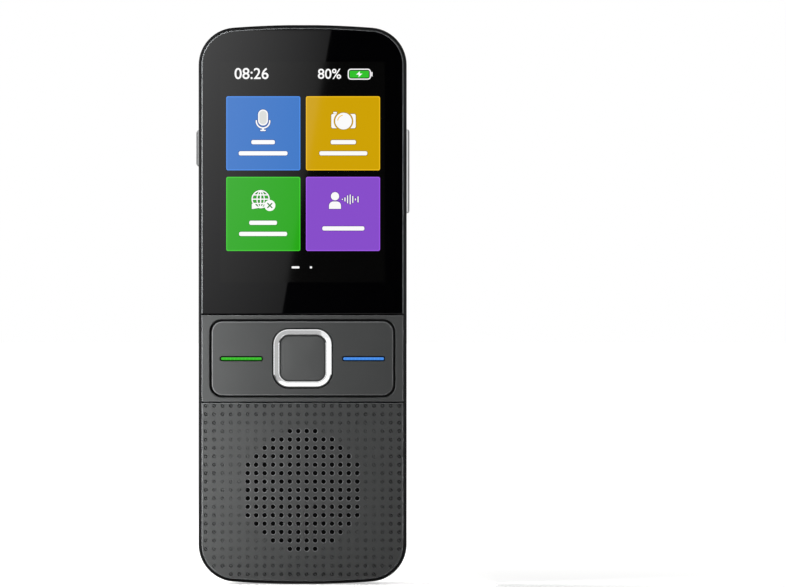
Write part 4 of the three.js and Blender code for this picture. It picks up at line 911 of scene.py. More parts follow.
ACTIVE_WIDTH, ACTIVE_LOW, ACTIVE_HIGH = 39.1, 71.8, 124.2
flat_piece("screen_panel", [rounded(ACTIVE_WIDTH, ACTIVE_HIGH - ACTIVE_LOW, 0.15, 0,
                                    (ACTIVE_LOW + ACTIVE_HIGH) / 2, 3)], 0.5, screen_dark, 0.004)

# %% Tiles
TILE, TILE_EDGE = 17.6, 0.44
LEFT, RIGHT, UPPER, LOWER = -9.32, 9.62, 107.2, 88.05
TILES = {"blue": (LEFT, UPPER), "yellow": (RIGHT, UPPER), "green": (LEFT, LOWER),
         "purple": (RIGHT, LOWER)}
for name, (x, z) in TILES.items():
    face = rounded(TILE - TILE_EDGE, TILE - TILE_EDGE, 0.24, x, z, 5)
    flat_piece(f"tile_{name}_edge", [[rounded(TILE, TILE, 0.42, x, z, 5), face]], 1.5,
               tile_edge[name])
    flat_piece(f"tile_{name}", [face], 1.5, tile_face[name])


# %% Signs and bars on the tiles
def microphone_sign(grow):
    x, z = -9.38, 110.9
    cradle = [(x - 1.58, z - 0.72)] + arc(x, z - 0.85, 1.58, 180, 360, 24) + [(x + 1.58, z - 0.72)]
    return [grown((2.35, 3.8, 1.17), grow, x, z + 0.05),
            ribbon(cradle, 0.34 + 2 * grow),
            ribbon([(x, z - 2.5), (x, z - 2.95)], 0.42 + 2 * grow),
            ribbon([(x - 0.5, z - 3.0), (x + 0.5, z - 3.0)], 0.34 + 2 * grow)]


CAMERA_SIGN = 9.74, 110.1


def camera_sign(grow):
    x, z = CAMERA_SIGN
    return [grown((5.8, 3.4, 0.4), grow, x, z, 5),
            grown((0.9, 0.42, 0.18), grow, x - 2.0, z + 1.98, 4)]


def oval(radius, x, z, squeeze=1.0):
    return [(x + squeeze * (px - x), pz) for px, pz in circle(radius, x, z)]


def globe_sign(grow):
    x, z, half = -9.95, 91.55, 0.15 + grow
    hoops = [[oval(2.02 + half, x, z), oval(2.02 - half, x, z)],
             [oval(2.02, x, z, 0.48), oval(2.02 - 2 * half, x, z, 0.42 - 0.3 * grow)]]
    lines = [[(x - 1.95, z), (x + 1.95, z)], [(x - 1.6, z + 1.02), (x + 1.6, z + 1.02)],
             [(x - 1.6, z - 1.02), (x + 1.6, z - 1.02)], [(x, z - 1.9), (x, z + 1.9)]]
    tail = [(x - 2.1 - grow, z - 2.35 - grow), (x - 0.5, z - 2.1 - grow), (x - 1.5, z - 1.0),
            (x - 2.1 - grow, z - 1.1)]
    return hoops + [ribbon(line, 2 * half) for line in lines] + [tail]


def person_sign(grow):
    x, z = 7.72, 92.25
    foot = z - 3.0 - grow
    shoulders = ([(x - 1.42 - grow, foot), (x + 1.42 + grow, foot)]
                 + arc(x + 0.42, z - 2.25, 1.0 + grow, 0, 90, 8)
                 + arc(x - 0.42, z - 2.25, 1.0 + grow, 90, 180, 8))
    bars = [grown((0.26, tall, 0.12), grow, x + 1.75 + 0.62 * k, z - 0.75, 3)
            for k, tall in enumerate([0.35, 1.0, 1.9, 2.4, 1.7, 0.5, 1.5])]
    return [circle(0.98 + grow, x, z, 28), shoulders] + bars


GROW = 0.13
# The bars in place of words: x, z and width
SIGNS = {"blue": (microphone_sign, [(-9.36, 105.1, 5.6), (-9.36, 102.45, 11.6)]),
         "yellow": (camera_sign, [(9.70, 105.1, 6.0), (9.70, 102.45, 11.4)]),
         "green": (globe_sign, [(-9.36, 85.95, 6.6), (-9.36, 83.3, 11.4)]),
         "purple": (person_sign, [(9.70, 84.6, 10.0)])}
for name, (draw, bars) in SIGNS.items():
    for word, grow, level, finish in [("_shade", GROW, 2.5, tile_shade[name]),
                                      ("", 0.0, 3.5, ink_white)]:
        words = [grown((width, 1.0, 0.4), grow, x, z, 5) for x, z, width in bars]
        flat_piece(f"sign_{name}{word}", draw(grow) + words, level, finish)
flat_piece("microphone_grey", [rounded(1.75, 3.2, 0.87, -9.38, 110.95, 8)], 4.5, ink_grey)
for word, radius, level, finish in [("gap", 2.34, 4.5, tile_face["yellow"]),
                                    ("lens_shade", 2.09, 5.5, tile_shade["yellow"]),
                                    ("lens", 1.99, 6.5, ink_white)]:
    flat_piece(f"camera_sign_{word}", [circle(radius, *CAMERA_SIGN, 40)], level, finish)
flat_piece("camera_sign_glint", [ribbon(arc(*CAMERA_SIGN, 1.38, 100, 172, 10), 0.2)], 7.5,
           tile_edge["yellow"])
x, z, reach = -7.77, 90.05, 0.5
flat_piece("globe_badge", [circle(1.32, x, z, 32)], 4.5, ink_white)
flat_piece("globe_badge_cross", [ribbon([(x - reach, z - reach), (x + reach, z + reach)], 0.28),
                                 ribbon([(x - reach, z + reach), (x + reach, z - reach)], 0.28)],
           5.5, tile_shade["green"])

# %% Status line
STATUS_Z = 121.25
BATTERY_X = 13.5
bolt = [(0.1, 0.72), (-0.75, -0.12), (-0.12, -0.12), (-0.2, -0.72), (0.75, 0.14), (0.12, 0.14)]
flat_piece("charge_outline", [[rounded(5.5, 2.6, 0.75, BATTERY_X, STATUS_Z, 6),
                               rounded(4.98, 2.08, 0.5, BATTERY_X, STATUS_Z, 6)],
                              rounded(0.3, 1.1, 0.12, BATTERY_X + 2.98, STATUS_Z, 3)],
           1.5, ink_white)
flat_piece("charge_level", [rounded(4.55, 1.65, 0.2, BATTERY_X, STATUS_Z, 4)], 1.5, ink_green)
flat_piece("charge_bolt", [[(BATTERY_X + x, STATUS_Z + z) for x, z in bolt]], 2.5, ink_white)
flat_piece("page_marks", [rounded(1.86, 0.5, 0.2, -1.65, 75.35, 4), circle(0.28, 2.0, 75.35, 16)],
           1.5, ink_white)


def digits(name, words, x, z, tall):
    """Plain figures in the built-in typeface, as a thin film that faces the front."""
    curve = bpy.data.curves.new(name, "FONT")
    curve.body, curve.align_x, curve.align_y = words, "CENTER", "CENTER"
    curve.size, curve.resolution_u = tall / 0.7 * MM, 6
    curve.extrude, curve.offset = 0.004 * MM, 0.035 * MM
    drawn = bpy.data.objects.new(name + "_curve", curve)
    scene.collection.objects.link(drawn)
    bpy.context.view_layer.update()
    graph = bpy.context.evaluated_depsgraph_get()
    mesh = bpy.data.meshes.new_from_object(drawn.evaluated_get(graph))
    bpy.data.objects.remove(drawn)
    for vertex in mesh.vertices:
        across, up, lift = vertex.co
        vertex.co = Vector((across + x * MM, (FACE - 1.5 * LAYER) * MM - lift, up + z * MM))
    edit_mesh(mesh, bmesh.ops.remove_doubles, "verts", dist=0.0005 * MM)
    mesh.name = name
    piece = bpy.data.objects.new(name, mesh)
    scene.collection.objects.link(piece)
    print(f"{name}: {piece.dimensions.x / MM:.2f} x {piece.dimensions.z / MM:.2f} mm")
    finish_piece(piece, "handset", [ink_white], [])


digits("clock_figures", "08:26", -12.1, STATUS_Z, 2.6)
digits("charge_figures", "80%", 6.4, STATUS_Z - 0.05, 2.35)

# %% [markdown]
# ## Rear covers
# The back is crowned: it is flat in the middle and falls to the edge in a quarter ellipse, and its
# corners tighten as it rises. A cover is drawn as a sheet seen from behind. Points are placed
# where the form needs them, on loops round the edge, on fine rows beside the seam and on circles
# round the camera, and triangulated. Each point is then given its depth from the formula of the
# crown, and a second sheet inside makes a wall of even thickness.

# %% Form of the crown
CROWN_FOOT, CROWN_TOP, CROWN_REACH, CROWN_SHARE = 8.95, 12.5, 7.6, 0.72
COVER_WALL = 1.1
SEAM_LOW, SEAM_HIGH, SEAM_ROUND = 91.4, 91.8, 0.18
CAMERA_Z, HOLE_RADIUS, HOLE_ROUND = 120.5, 7.14, 0.10
COLLAR_TOP, COLLAR_FOOT, COLLAR_EDGE = 13.15, 8.0, 7.3
HALVINGS = 34


def crown_radius(inset):
    return CORNER - REAR_INSET - CROWN_SHARE * (inset - REAR_INSET)


def beyond(x, z, inset):
    """How far a point lies outside the crown's outline at an inset, and the way out."""
    px, pz = abs(x), abs(z - LENGTH / 2)
    radius = crown_radius(inset)
    cx, cz, lean = corner_of(inset, radius)
    if px > cx and pz > cz and math.atan2(pz - cz, px - cx) < lean:
        reach = math.hypot(px - cx, pz - cz)
        return reach - radius, (px - cx) / reach, (pz - cz) / reach
    side = px - (HALF_WIDTH - inset)
    middle = math.hypot(px, pz - ARC_CENTRE)
    end = max(middle - (END_ARC - inset), pz - (LENGTH / 2 - inset))
    return (side, 1.0, 0.0) if side > end else (end, px / middle, (pz - ARC_CENTRE) / middle)


def crown(x, z):
    """Depth of the crown at a place, and its outward direction there."""
    low, high = REAR_INSET, REAR_INSET + CROWN_REACH
    if beyond(x, z, high)[0] <= 0:
        return CROWN_TOP, (0.0, 1.0, 0.0)
    for _ in range(HALVINGS):
        middle = (low + high) / 2
        if beyond(x, z, middle)[0] > 0:
            high = middle
        else:
            low = middle
    _, out_x, out_z = beyond(x, z, low)
    across = 1 - (low - REAR_INSET) / CROWN_REACH
    up = math.sqrt(max(0.0, 1 - across**2))
    rise = CROWN_TOP - CROWN_FOOT
    size = math.hypot(rise * across, CROWN_REACH * up)
    tilt, lift = rise * across / size, CROWN_REACH * up / size
    return CROWN_FOOT + rise * up, (math.copysign(out_x * tilt, x), lift,
                                    math.copysign(out_z * tilt, z - LENGTH / 2))


def edge_drop(distance, radius):
    """How far a rounded edge falls below its surface at a distance in from the edge."""
    if distance >= radius:
        return 0.0
    return radius - math.sqrt(max(0.0, radius**2 - (radius - distance) ** 2))


def cover_depth(x, z, seam):
    depth, out = crown(x, z)
    reach = math.hypot(x, z - CAMERA_Z)
    if reach < COLLAR_FOOT:
        share = min(1.0, (COLLAR_FOOT - reach) / (COLLAR_FOOT - COLLAR_EDGE))
        ease = share * share * (3 - 2 * share)
        depth += (COLLAR_TOP - depth) * ease
        depth -= edge_drop(reach - HOLE_RADIUS + 0.001, HOLE_ROUND)
        out = (out[0] * (1 - ease), 1.0, out[2] * (1 - ease))
        size = math.hypot(*out)
        out = tuple(v / size for v in out)
    return depth - edge_drop(abs(z - seam) + 0.001, SEAM_ROUND), out


# %% Sheets of the covers
CROWN_STEPS = 15


def cover_plan(upper, seam):
    """Points of a cover seen from behind, the edges between them, its border and its holes."""
    side = 1 if upper else -1
    points, edges, holes, border = [], [], [], None

    def line(path, closed=False):
        start = len(points)
        points.extend(path)
        edges.extend((start + k, start + k + 1) for k in range(len(path) - 1))
        if closed:
            edges.append((start + len(path) - 1, start))
        return list(range(start, len(points)))

    for k in range(CROWN_STEPS + 1):
        inset = REAR_INSET + CROWN_REACH * (1 - math.cos(math.pi / 2 * k / CROWN_STEPS))
        loop = outline(inset, crown_radius(inset), 13, 22)
        half, edge = len(loop) // 2, HALF_WIDTH - inset
        path = ([(edge, seam)] + loop[:half] + [(-edge, seam)] if upper
                else [(-edge, seam)] + loop[half:] + [(edge, seam)])
        runs = [[]]
        for x, z in path:
            if upper and math.hypot(x, z - CAMERA_Z) < COLLAR_FOOT + 0.35:
                runs.append([])
            else:
                runs[-1].append((x, z))
        made = [line(run) for run in runs if len(run) > 1]
        border = border or made[-1]
    width = HALF_WIDTH - REAR_INSET
    for distance in (0.03, 0.08, SEAM_ROUND):
        line([(-width, seam + side * distance), (width, seam + side * distance)])
    if upper:
        radii = [HOLE_RADIUS, HOLE_RADIUS + 0.02, HOLE_RADIUS + 0.05, HOLE_RADIUS + HOLE_ROUND]
        radii += [COLLAR_EDGE + (COLLAR_FOOT - COLLAR_EDGE) * k / 8 for k in range(9)]
        holes = [line(circle(radius, 0, CAMERA_Z, 96), closed=True) for radius in radii][:1]
    return points, edges, border, holes


def cover_shape(upper):
    """A closed cover: outer sheet, inner sheet and the walls between their borders."""
    seam = SEAM_HIGH if upper else SEAM_LOW
    points, edges, border, holes = cover_plan(upper, seam)
    flat = [Vector(p) for p in points]
    corners, _, triangles, _, _, inside = delaunay_2d_cdt(flat, edges, [border] + holes, 1, 1e-6)
    kept = [t for t, within in zip(triangles, inside) if list(within) == [0]]
    used = sorted({v for t in kept for v in t})
    order = {v: k for k, v in enumerate(used)}
    cover = Shape()
    outer, inner = [], []
    for v in used:
        x, z = corners[v]
        depth, out = cover_depth(x, z, seam)
        outer.append((x, depth, z))
        base = crown(x, z)[0]
        inner.append((x - COVER_WALL * out[0], base - COVER_WALL * out[1], z - COVER_WALL * out[2]))
    cover.add_points(outer)
    cover.add_points(inner)
    total, sides = len(outer), {}
    for t in kept:
        a, b, c = (order[v] for v in t)
        cover.face((a, b, c), 0)
        cover.face((c + total, b + total, a + total), 0)
        for p, q in ((a, b), (b, c), (c, a)):
            sides[p, q] = True
    for p, q in sides:
        if (q, p) not in sides:
            cover.face((q, p, p + total, q + total), 0)
    return cover


make_piece("upper_cover_shell", cover_shape(True), "handset", [cover_charcoal], ["upper_cover"],
           sharp=50)
lower = make_piece("battery_cover_shell", cover_shape(False), "battery_cover", [cover_charcoal],
                   ["battery_cover"], sharp=50)

# %% Fingernail notch and tongues of the lower cover
NOTCH_X, NOTCH_DEEP = 13.0, 2.2
notch = Shape()
loop = rounded(8.0, 1.4, 0.45, NOTCH_X, CROWN_FOOT - 0.15, 6)
notch.stack([notch.add_points([(x, d, z) for x, d in loop]) for z in (-1.0, NOTCH_DEEP)])
cut_away(lower, [notch])
TONGUE_X, TONGUE_SPAN = 22.75, 91.6
for k, share in enumerate([0.24, 0.52, 0.8]):
    for side, word in ((-1, "left"), (1, "right")):
        tongue = Shape()
        tongue.stack([tongue.ring(rounded(0.5 + 2 * max(grow, -0.1), 8 + 2 * grow, 0.1,
                                          side * TONGUE_X, share * TONGUE_SPAN, 4), depth)
                      for depth, grow in [(7.9, -0.14), (8.05, 0.0), (9.4, 0.0), (9.9, 0.1)]])
        make_piece(f"cover_tongue_{word}_{k + 1}", tongue, "battery_cover", [cover_charcoal], [])

# %% [markdown]
# ## Camera
# The camera disc is turned: a slightly domed face with a rounded rim, in a thin bright trim ring
# that stands just above the collar. The dome gathers a wide part of the room, so the disc is light
# on one side and dark on the other. The lens ring is dished towards a small dark lens, and the
# flash has a yellow diffuser with fine concentric ridges that spread its light. Each sits in a hole
# with a black wall, a painted shade that draws the black line round it.

# %% Camera disc, lens and flash
DISC, DISC_TOP, DOME = 6.9, 13.4, 0.11
DISC_FOOT = 10.8
LENS_X, FLASH_X = 2.4, -2.4


def disc_level(x, z):
    return DISC_TOP - DOME * (x**2 + (z - CAMERA_Z) ** 2) / (DISC - 0.4) ** 2


disc = Shape()
disc_rings = disc.turns([(7.6, DISC_FOOT), (7.6, 11.3), (DISC, 11.3), (DISC, 13.02),
                         (DISC - 0.04, 13.14), (DISC - 0.13, 13.23), (DISC - 0.26, 13.28),
                         (DISC - 0.40, DISC_TOP - DOME)], 0, CAMERA_Z, 96)
disc.stack(disc_rings, close=False)
disc_holes = []
for x, radius in ((LENS_X, 1.90), (FLASH_X, 1.78)):
    rim = [(px, disc_level(px, pz), pz) for px, pz in circle(radius + 0.06, x, CAMERA_Z, 40)]
    rings = [disc.add_points(rim)]
    rings += disc.turns([(radius, 13.30), (radius, DISC_FOOT)], x, CAMERA_Z, 40)
    disc.strip(rings[0], rings[1])
    # The hole's wall is black, a painted shade that draws the dark line round it
    disc.strip(rings[1], rings[2], slot=1)
    disc_holes.append(rings)
dots = [(x, disc_level(x, z), z) for r in (0.9, 2.0, 3.0, 4.0, 5.0, 5.8)
        for x, z in circle(r, 0, CAMERA_Z, 36)
        if all(math.hypot(x - hole, z - CAMERA_Z) > 2.1 for hole in (LENS_X, FLASH_X))]
disc.fill(disc_rings[-1], [rings[0] for rings in disc_holes], dots=disc.add_points(dots))
disc.fill(disc_rings[0], [rings[-1] for rings in disc_holes])
disc.hoop(disc.turns([(6.96, 12.2), (6.96, 13.17), (6.98, 13.22), (7.03, 13.24), (7.08, 13.22),
                      (7.10, 13.17), (7.10, 12.2)], 0, CAMERA_Z, 96), slot=2)
make_piece("camera_disc_face", disc, "handset", [disc_charcoal, black_moulding_and_painted_gap_shade, lens_grey],
           ["camera_disc"])


def turned_piece(name, profile, x, finish, node):
    """A turned part about an axis through the camera disc, from its underside to its top."""
    shape = Shape()
    shape.stack(shape.turns(profile, x, CAMERA_Z))
    make_piece(name, shape, "handset", [finish], [node])


turned_piece("lens_ring_dished", [(1.73, DISC_FOOT), (1.73, 13.20), (1.69, 13.26), (1.60, 13.28),
                                  (1.45, 13.27), (0.74, 13.22), (0.62, 13.16), (0.56, 13.02),
                                  (0.56, 12.6)], LENS_X, lens_grey, "lens_ring")
turned_piece("camera_lens_dome", [(0.5, 12.65), (0.5, 13.02), (0.44, 13.08), (0.32, 13.13),
                                  (0.16, 13.155), (0.04, 13.16)],
             LENS_X, lens_glass, "camera_lens")
ridges = [(1.5, DISC_FOOT), (1.5, 13.26), (1.46, 13.33), (1.36, 13.35)]
for k in range(4):
    radius = 1.22 - 0.28 * k
    ridges += [(radius + 0.07, 13.35), (radius, 13.31), (radius - 0.07, 13.35)]
turned_piece("flash_diffuser_ridged", ridges, FLASH_X, flash_yellow_painted_glow, "flash_diffuser")

# %% [markdown]
# ## Under the lower cover
# With the lower cover lifted off, the chassis, the battery and its contacts show. The chassis is a
# flat tray with ribs and a bay, the battery a foil pouch with round edges, and the screws have
# rounded heads with a six-sided socket.

# %% Battery
BATTERY_Z, BATTERY_HALF = 61.0, 28.0
cell, rings = Shape(), []
for z, shrink in [(-BATTERY_HALF, 0.7), (-BATTERY_HALF + 0.1, 0.4), (-BATTERY_HALF + 0.35, 0.12),
                  (-BATTERY_HALF + 0.8, 0.0), (BATTERY_HALF - 0.8, 0.0),
                  (BATTERY_HALF - 0.35, 0.12), (BATTERY_HALF - 0.1, 0.4), (BATTERY_HALF, 0.7)]:
    loop = rounded(37.0 - 2 * shrink, 4.9 - 2 * shrink, 1.4 - shrink / 2, 0, 8.55, 8)
    rings.append(cell.add_points([(x, d, BATTERY_Z + z) for x, d in loop]))
cell.stack(rings)
make_piece("battery_pouch", cell, "handset", [battery_foil], ["battery_cell"])

# %% Screws
head_profile = [(0.55, 6.4), (0.75, 6.8), (0.75, 9.65), (1.35, 9.65), (1.35, 9.95), (1.28, 10.12),
                (1.10, 10.22), (0.85, 10.25)]
socket_profile = [(0.58, 10.25), (0.52, 10.22), (0.52, 9.92)]
screw_places = [(side * x, z) for side in (-1, 1)
                for x, z in [(17.5, 8.0), (16.0, 94.55), (17.5, 125.0)]]
for number, (x, z) in enumerate(screw_places, 1):
    head = Shape()
    rings = head.turns(head_profile, x, z, 30)
    head.stack(rings, close=False)
    head.cap(rings[0])
    socket = head.turns(socket_profile, x, z, 6)
    head.stack(socket, close=False)
    head.cap(socket[-1])
    head.fill(rings[-1], [socket[0]])
    make_piece(f"pan_head_screw_{number}", head, "handset", [tin_plate],
               [f"chassis_screw_{number}"])

# %% Chassis tray
TRAY_FRONT, TRAY_BACK, BAY_FLOOR = 8.8, 9.6, 7.2
BAY_WIDTH, BAY_LOW, BAY_HIGH, BAY_WALL = 37.6, 32.7, 91.55, 0.8
bay_z = (BAY_HIGH + BAY_LOW) / 2
bay = rounded(BAY_WIDTH, BAY_HIGH - BAY_LOW, 0.6, 0, bay_z, 5)
tray = Shape()
tray_edge = [tray.ring(outline(2.5 + g), d) for g, d in [
    (0.0, TRAY_FRONT), (0.0, TRAY_BACK - 0.12), (0.04, TRAY_BACK - 0.04), (0.14, TRAY_BACK)]]
tray.stack(tray_edge, close=False)
openings = [(bay, BAY_FLOOR), (rounded(7.6, 7.6, 0.5, LENS_X, CAMERA_Z, 5), TRAY_FRONT)]
openings += [(circle(0.87, x, z, 20), TRAY_FRONT) for x, z in screw_places]
walls = [tray.wall(loop, TRAY_BACK, TRAY_FRONT) for loop, _ in openings]
tray.fill(tray_edge[-1], [wall[0] for wall in walls])
tray.fill(tray_edge[0], [wall[1] for wall in walls])
bay_outer = rounded(BAY_WIDTH + 2 * BAY_WALL, BAY_HIGH - BAY_LOW + 2 * BAY_WALL, 1.2, 0, bay_z, 5)
tray.hoop([tray.ring(bay, BAY_FLOOR), tray.ring(bay_outer, BAY_FLOOR), tray.ring(bay_outer, 8.79),
           tray.ring(bay, 8.79)])
ribs = [(1.7, 0.7, side * 20.85, z) for side in (-1, 1) for z in (40, 50, 60, 70, 80)]
ribs += [(0.7, 14, x, 17) for x in (-9, -4.5, 0, 4.5, 9)]
for width, length, x, z in ribs:
    tray.stack([tray.ring(rounded(width + 2 * g, length + 2 * g, 0.15, x, z, 4), TRAY_BACK + d)
                for g, d in [(0.0, 0.002), (0.0, 0.28), (-0.1, 0.36)]])
make_piece("chassis_tray", tray, "handset", [chassis_nylon], ["rear_chassis"])

# %% [markdown]
# ## Inner parts
# The other inner parts have the right form already, so they only get their finish and a narrow
# bevel that rounds the edges for the light.

# %% Finishes of the inner parts
inner = {
    cover_glass: ["display_panel"],
    amber_film: ["display_flex", "wifi_antenna", "camera_flex"],
    silicone: ["key_membrane", "microphone_boot"],
    lamp_ceramic: ["green_lamp", "blue_lamp", "flash_lamp"],
    tin_plate: ["left_key_switch", "right_key_switch", "home_switch", "processor_shield",
                "radio_shield", "microphone", "power_switch", "volume_up_switch",
                "volume_down_switch"],
    foam_black: ["speaker_gasket", "speaker_cone", "battery_pad"],
    black_moulding_and_painted_gap_shade: ["speaker_basket", "camera_module"],
    ferrite: ["speaker_magnet"],
    board_green: ["main_board", "flash_board"],
    gold_plate: ["battery_contacts"],
}
shown = {name for name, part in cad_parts.items() if not part.hide_render}
print("still plain:", sorted(shown - {name for names in inner.values() for name in names}))
for finish, names in inner.items():
    for part in [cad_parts[name] for name in names]:
        part.data.materials.clear()
        part.data.materials.append(finish)
        edge = part.modifiers.new("soft_edge", "BEVEL")
        edge.width, edge.segments, edge.limit_method = 0.04 * MM, 2, "ANGLE"
print("inner parts finished:", sum(len(names) for names in inner.values()))

# %% [markdown]
# ## Room, light and camera
# The bar stands on a pale floor in a white room. A tall soft strip close to its left lights the
# front unevenly, as in the photograph, and its twin does the same behind. The room itself gives a
# soft light from everywhere. The glass is a mirror, so what it shows is arranged too: a dark card
# stands before it, with a slanted pale card in front of that card. Dark cards on the floor and
# before the lower panels keep the lacquer deep, and black flags keep the side band black.

# %% Floor and room
FLOOR_Z = -0.05
ROOM_LIGHT = 0.18
GLOW_NEAR, GLOW_FAR = (60, 0.50), (260, 0.97)


def stage_card(name, corners, finish):
    """A flat card from four corners, or from two opposite ones if it is upright or level."""
    if len(corners) == 2:
        (x0, y0, z0), (x1, y1, z1) = corners
        corners = [(x0, y0, z0), (x1, y1, z0), (x1, y1, z1), (x0, y0, z1)]
        if z0 == z1:
            corners = [(x0, y0, z0), (x1, y0, z0), (x1, y1, z0), (x0, y1, z0)]
    card = new_object(name, corners, [(0, 1, 2, 3)])
    card.data.materials.append(finish)
    return card


def seen_directly(tree):
    """One for what the camera sees, also in a mirror or through glass, and nought for the rest."""
    rays = add_node(tree, "ShaderNodeLightPath").outputs
    total = rays["Is Camera Ray"]
    for kind in ("Is Glossy Ray", "Is Transmission Ray"):
        total = add_node(tree, "ShaderNodeMath", {0: total, 1: rays[kind]},
                         operation="MAXIMUM").outputs["Value"]
    return total


# A matt pale paint on the floor. Near the bar the lamps light it, so it glows less there and
# keeps the shadow.
floor_paint, tree, shader = new_finish("pale_floor", {"Base Color": linear("#dcdcdb"),
                                                      "Roughness": 0.9, "Specular IOR Level": 0.1,
                                                      "Emission Color": (1, 1, 1, 1)})
spot = add_node(tree, "ShaderNodeTexCoord").outputs["Object"]
away = add_node(tree, "ShaderNodeVectorMath", {0: spot}, operation="LENGTH")
glow = add_node(tree, "ShaderNodeMapRange",
                {"Value": away.outputs["Value"], "From Min": GLOW_NEAR[0] * MM,
                 "From Max": GLOW_FAR[0] * MM, "To Min": GLOW_NEAR[1], "To Max": GLOW_FAR[1]})
fill_light = add_node(tree, "ShaderNodeMath", {0: seen_directly(tree), 1: glow.outputs["Result"]},
                      operation="MULTIPLY")
tree.links.new(fill_light.outputs["Value"], shader.inputs["Emission Strength"])
stage_card("floor", [(-4000, -3000, FLOOR_Z), (4000, 5000, FLOOR_Z)], floor_paint)

world = bpy.data.worlds.new("white_room")
scene.world = world
world.use_nodes = True
tree = world.node_tree
tree.nodes.clear()
room_level = add_node(tree, "ShaderNodeMapRange",
                      {"Value": seen_directly(tree), "To Min": ROOM_LIGHT, "To Max": 1.0})
room = add_node(tree, "ShaderNodeBackground",
                {"Color": (1, 1, 1, 1), "Strength": room_level.outputs["Result"]})
add_node(tree, "ShaderNodeOutputWorld", {"Surface": room.outputs["Background"]})
scene.view_settings.view_transform = "Standard"
print("floor at", FLOOR_Z, "mm, room light", ROOM_LIGHT)

# %% Lamps
def soft_lamp(name, place, aim, width, height, watts):
    """A rectangular softbox that the camera doesn't see, its long side upright."""
    light = bpy.data.lights.new(name, "AREA")
    light.shape, light.energy = "RECTANGLE", watts
    light.size, light.size_y = width * MM, height * MM
    lamp = bpy.data.objects.new(name, light)
    scene.collection.objects.link(lamp)
    lamp.location = Vector(place) * MM
    lamp.rotation_mode = "QUATERNION"
    lamp.rotation_quaternion = (Vector(aim) - Vector(place)).to_track_quat("-Z", "Y")
    lamp.visible_camera = lamp.visible_glossy = False
    print(f"{name}: {width} x {height} mm, {watts} W")


soft_lamp("left_front_strip", (-46, -28, 68), (0, -4, 68), 20, 300, 0.21)
soft_lamp("right_edge_strip", (46, -7.6, 68), (24, -6.8, 68), 2, 300, 0.05)
soft_lamp("left_back_strip", (-300, 98, 160), (0, 6, 68), 80, 200, 1.75)
soft_lamp("right_front_box", (420, -520, 260), (0, 0, 70), 300, 400, 0.25)
soft_lamp("right_back_box", (380, 560, 260), (0, 0, 70), 300, 400, 0.6)


# %% Cards that the glass and the chrome reflect
def card_finish(name, strength, sideways=None, upwards=None):
    """A card that glows evenly, or weaker towards one side and one end.

    Each gradient is (start, end, share at the start, share at the end), in millimetres."""
    made, tree, glow = new_finish(name, {"Color": (1, 1, 1, 1), "Strength": strength},
                                  "ShaderNodeEmission")
    if sideways and upwards:
        where = add_node(tree, "ShaderNodeTexCoord").outputs["Object"]
        split = add_node(tree, "ShaderNodeSeparateXYZ", {"Vector": where})
        shares = []
        for axis, (start, end, low, high) in (("X", sideways), ("Z", upwards)):
            share = add_node(tree, "ShaderNodeMapRange",
                             {"Value": split.outputs[axis], "From Min": start * MM,
                              "From Max": end * MM, "To Min": low, "To Max": high})
            shares.append(share.outputs["Result"])
        both = add_node(tree, "ShaderNodeMath", {0: shares[0], 1: shares[1]}, operation="MULTIPLY")
        total = add_node(tree, "ShaderNodeMath", {0: both.outputs["Value"], 1: strength},
                         operation="MULTIPLY")
        tree.links.new(total.outputs["Value"], glow.inputs["Strength"])
    return made


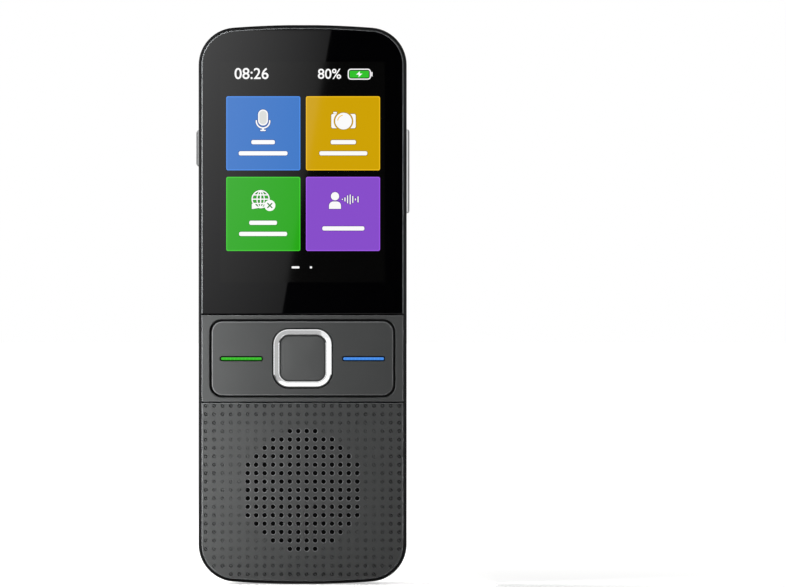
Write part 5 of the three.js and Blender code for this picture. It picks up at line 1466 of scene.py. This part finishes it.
# Cloths that swallow light, and papers that a studio lights from the front
black_cloth = card_finish("black_cloth", 0.0)
dark_cloth = card_finish("dark_cloth", 0.10)
grey_paper = card_finish("grey_paper", 0.55)
white_paper = card_finish("white_paper", 1.35)
pale_paper = card_finish("pale_card_paper", 1.5, (-46, -2, 1.0, 0.26), (62, 163, 0.42, 1.0))
pale_paper_behind = card_finish("pale_card_paper_behind", 3.0, (-60, 30, 1.0, 0.0),
                                (110, 200, 0.0, 1.0))
cards = [
    # Behind the others, a black card that makes the glass black
    ("black_card", [(-75, -560, 60.5), (60, -560, 190)], black_cloth),
    # A slanted card for the pale reflection in the glass
    ("pale_card", [(-80, -525, 60.5), (-18.3, -525, 60.5), (-0.6, -525, 163), (-80, -525, 163)],
     pale_paper),
    # Dark cards before the lower panels and on the floor keep their lacquer deep
    ("dark_card", [(-260, -640, -1), (260, -640, 60)], dark_cloth),
    ("floor_card", [(-260, -640, 0.4), (260, 640, 0.4)], dark_cloth),
    # Behind, a dark card, and before it a pale one that fades sideways and down
    ("dark_card_behind", [(-260, 640, -1), (260, 640, 330)], dark_cloth),
    ("pale_card_behind", [(-160, 620, 60), (60, 620, 300)], pale_paper_behind),
    # Cards for the ring: grey above and to the left, white to the right and on the floor
    ("ring_card_left", [(-190, -300, 2), (-80, -300, 215)], grey_paper),
    ("ring_card_top", [(-80, -300, 150), (50, -300, 215)], grey_paper),
    ("ring_card_right", [(90, -300, 2), (180, -300, 125)], white_paper),
    ("ring_card_low", [(-60, -160, 0.8), (60, -84, 0.8)], white_paper),
    ("ring_card_low_left",
     [(-30, -165, 0.9), (-75, -130, 0.9), (-150, -300, 0.9), (-80, -300, 0.9)], grey_paper),
    ("ring_card_low_right",
     [(30, -165, 0.9), (75, -130, 0.9), (150, -300, 0.9), (80, -300, 0.9)], white_paper),
    # Black flags beside and above the bar, so that its black band stays black
    ("flag_left", [(-340, -150, -20), (-340, 200, 420)], black_cloth),
    ("flag_right", [(340, -150, -20), (340, 600, 420)], black_cloth),
    ("flag_top", [(-340, -150, 420), (340, 600, 420)], black_cloth),
]
for name, corners, finish in cards:
    card = stage_card(name, corners, finish)
    card.visible_camera = card.visible_diffuse = card.visible_transmission = False
    card.visible_shadow = card.visible_volume_scatter = False
print("cards that only reflections show:", len(cards))

# %% Camera
# A long lens from 1.04 m, level with the middle of the picture and a little to the right, as the
# front of the bar stands left of the middle of the photograph.
PHOTO_WIDTH, MM_PER_PIXEL = 786, 0.2376
PHOTO_MIDDLE_X, PHOTO_MIDDLE_Z = 21.5, 69.14
SENSOR, LENS_LENGTH = 36.0, 200.0
distance = PHOTO_WIDTH * MM_PER_PIXEL * LENS_LENGTH / SENSOR
lens = bpy.data.cameras.new("studio_camera")
lens.lens, lens.sensor_width = LENS_LENGTH, SENSOR
lens.clip_start, lens.clip_end = 0.05, 50.0
studio_camera = bpy.data.objects.new("studio_camera", lens)
scene.collection.objects.link(studio_camera)
studio_camera.location = Vector((PHOTO_MIDDLE_X, FACE - distance, PHOTO_MIDDLE_Z)) * MM
studio_camera.rotation_euler = (math.pi / 2, 0, 0)
bpy.context.scene.camera = studio_camera
print("camera distance", round(distance, 1), "mm")
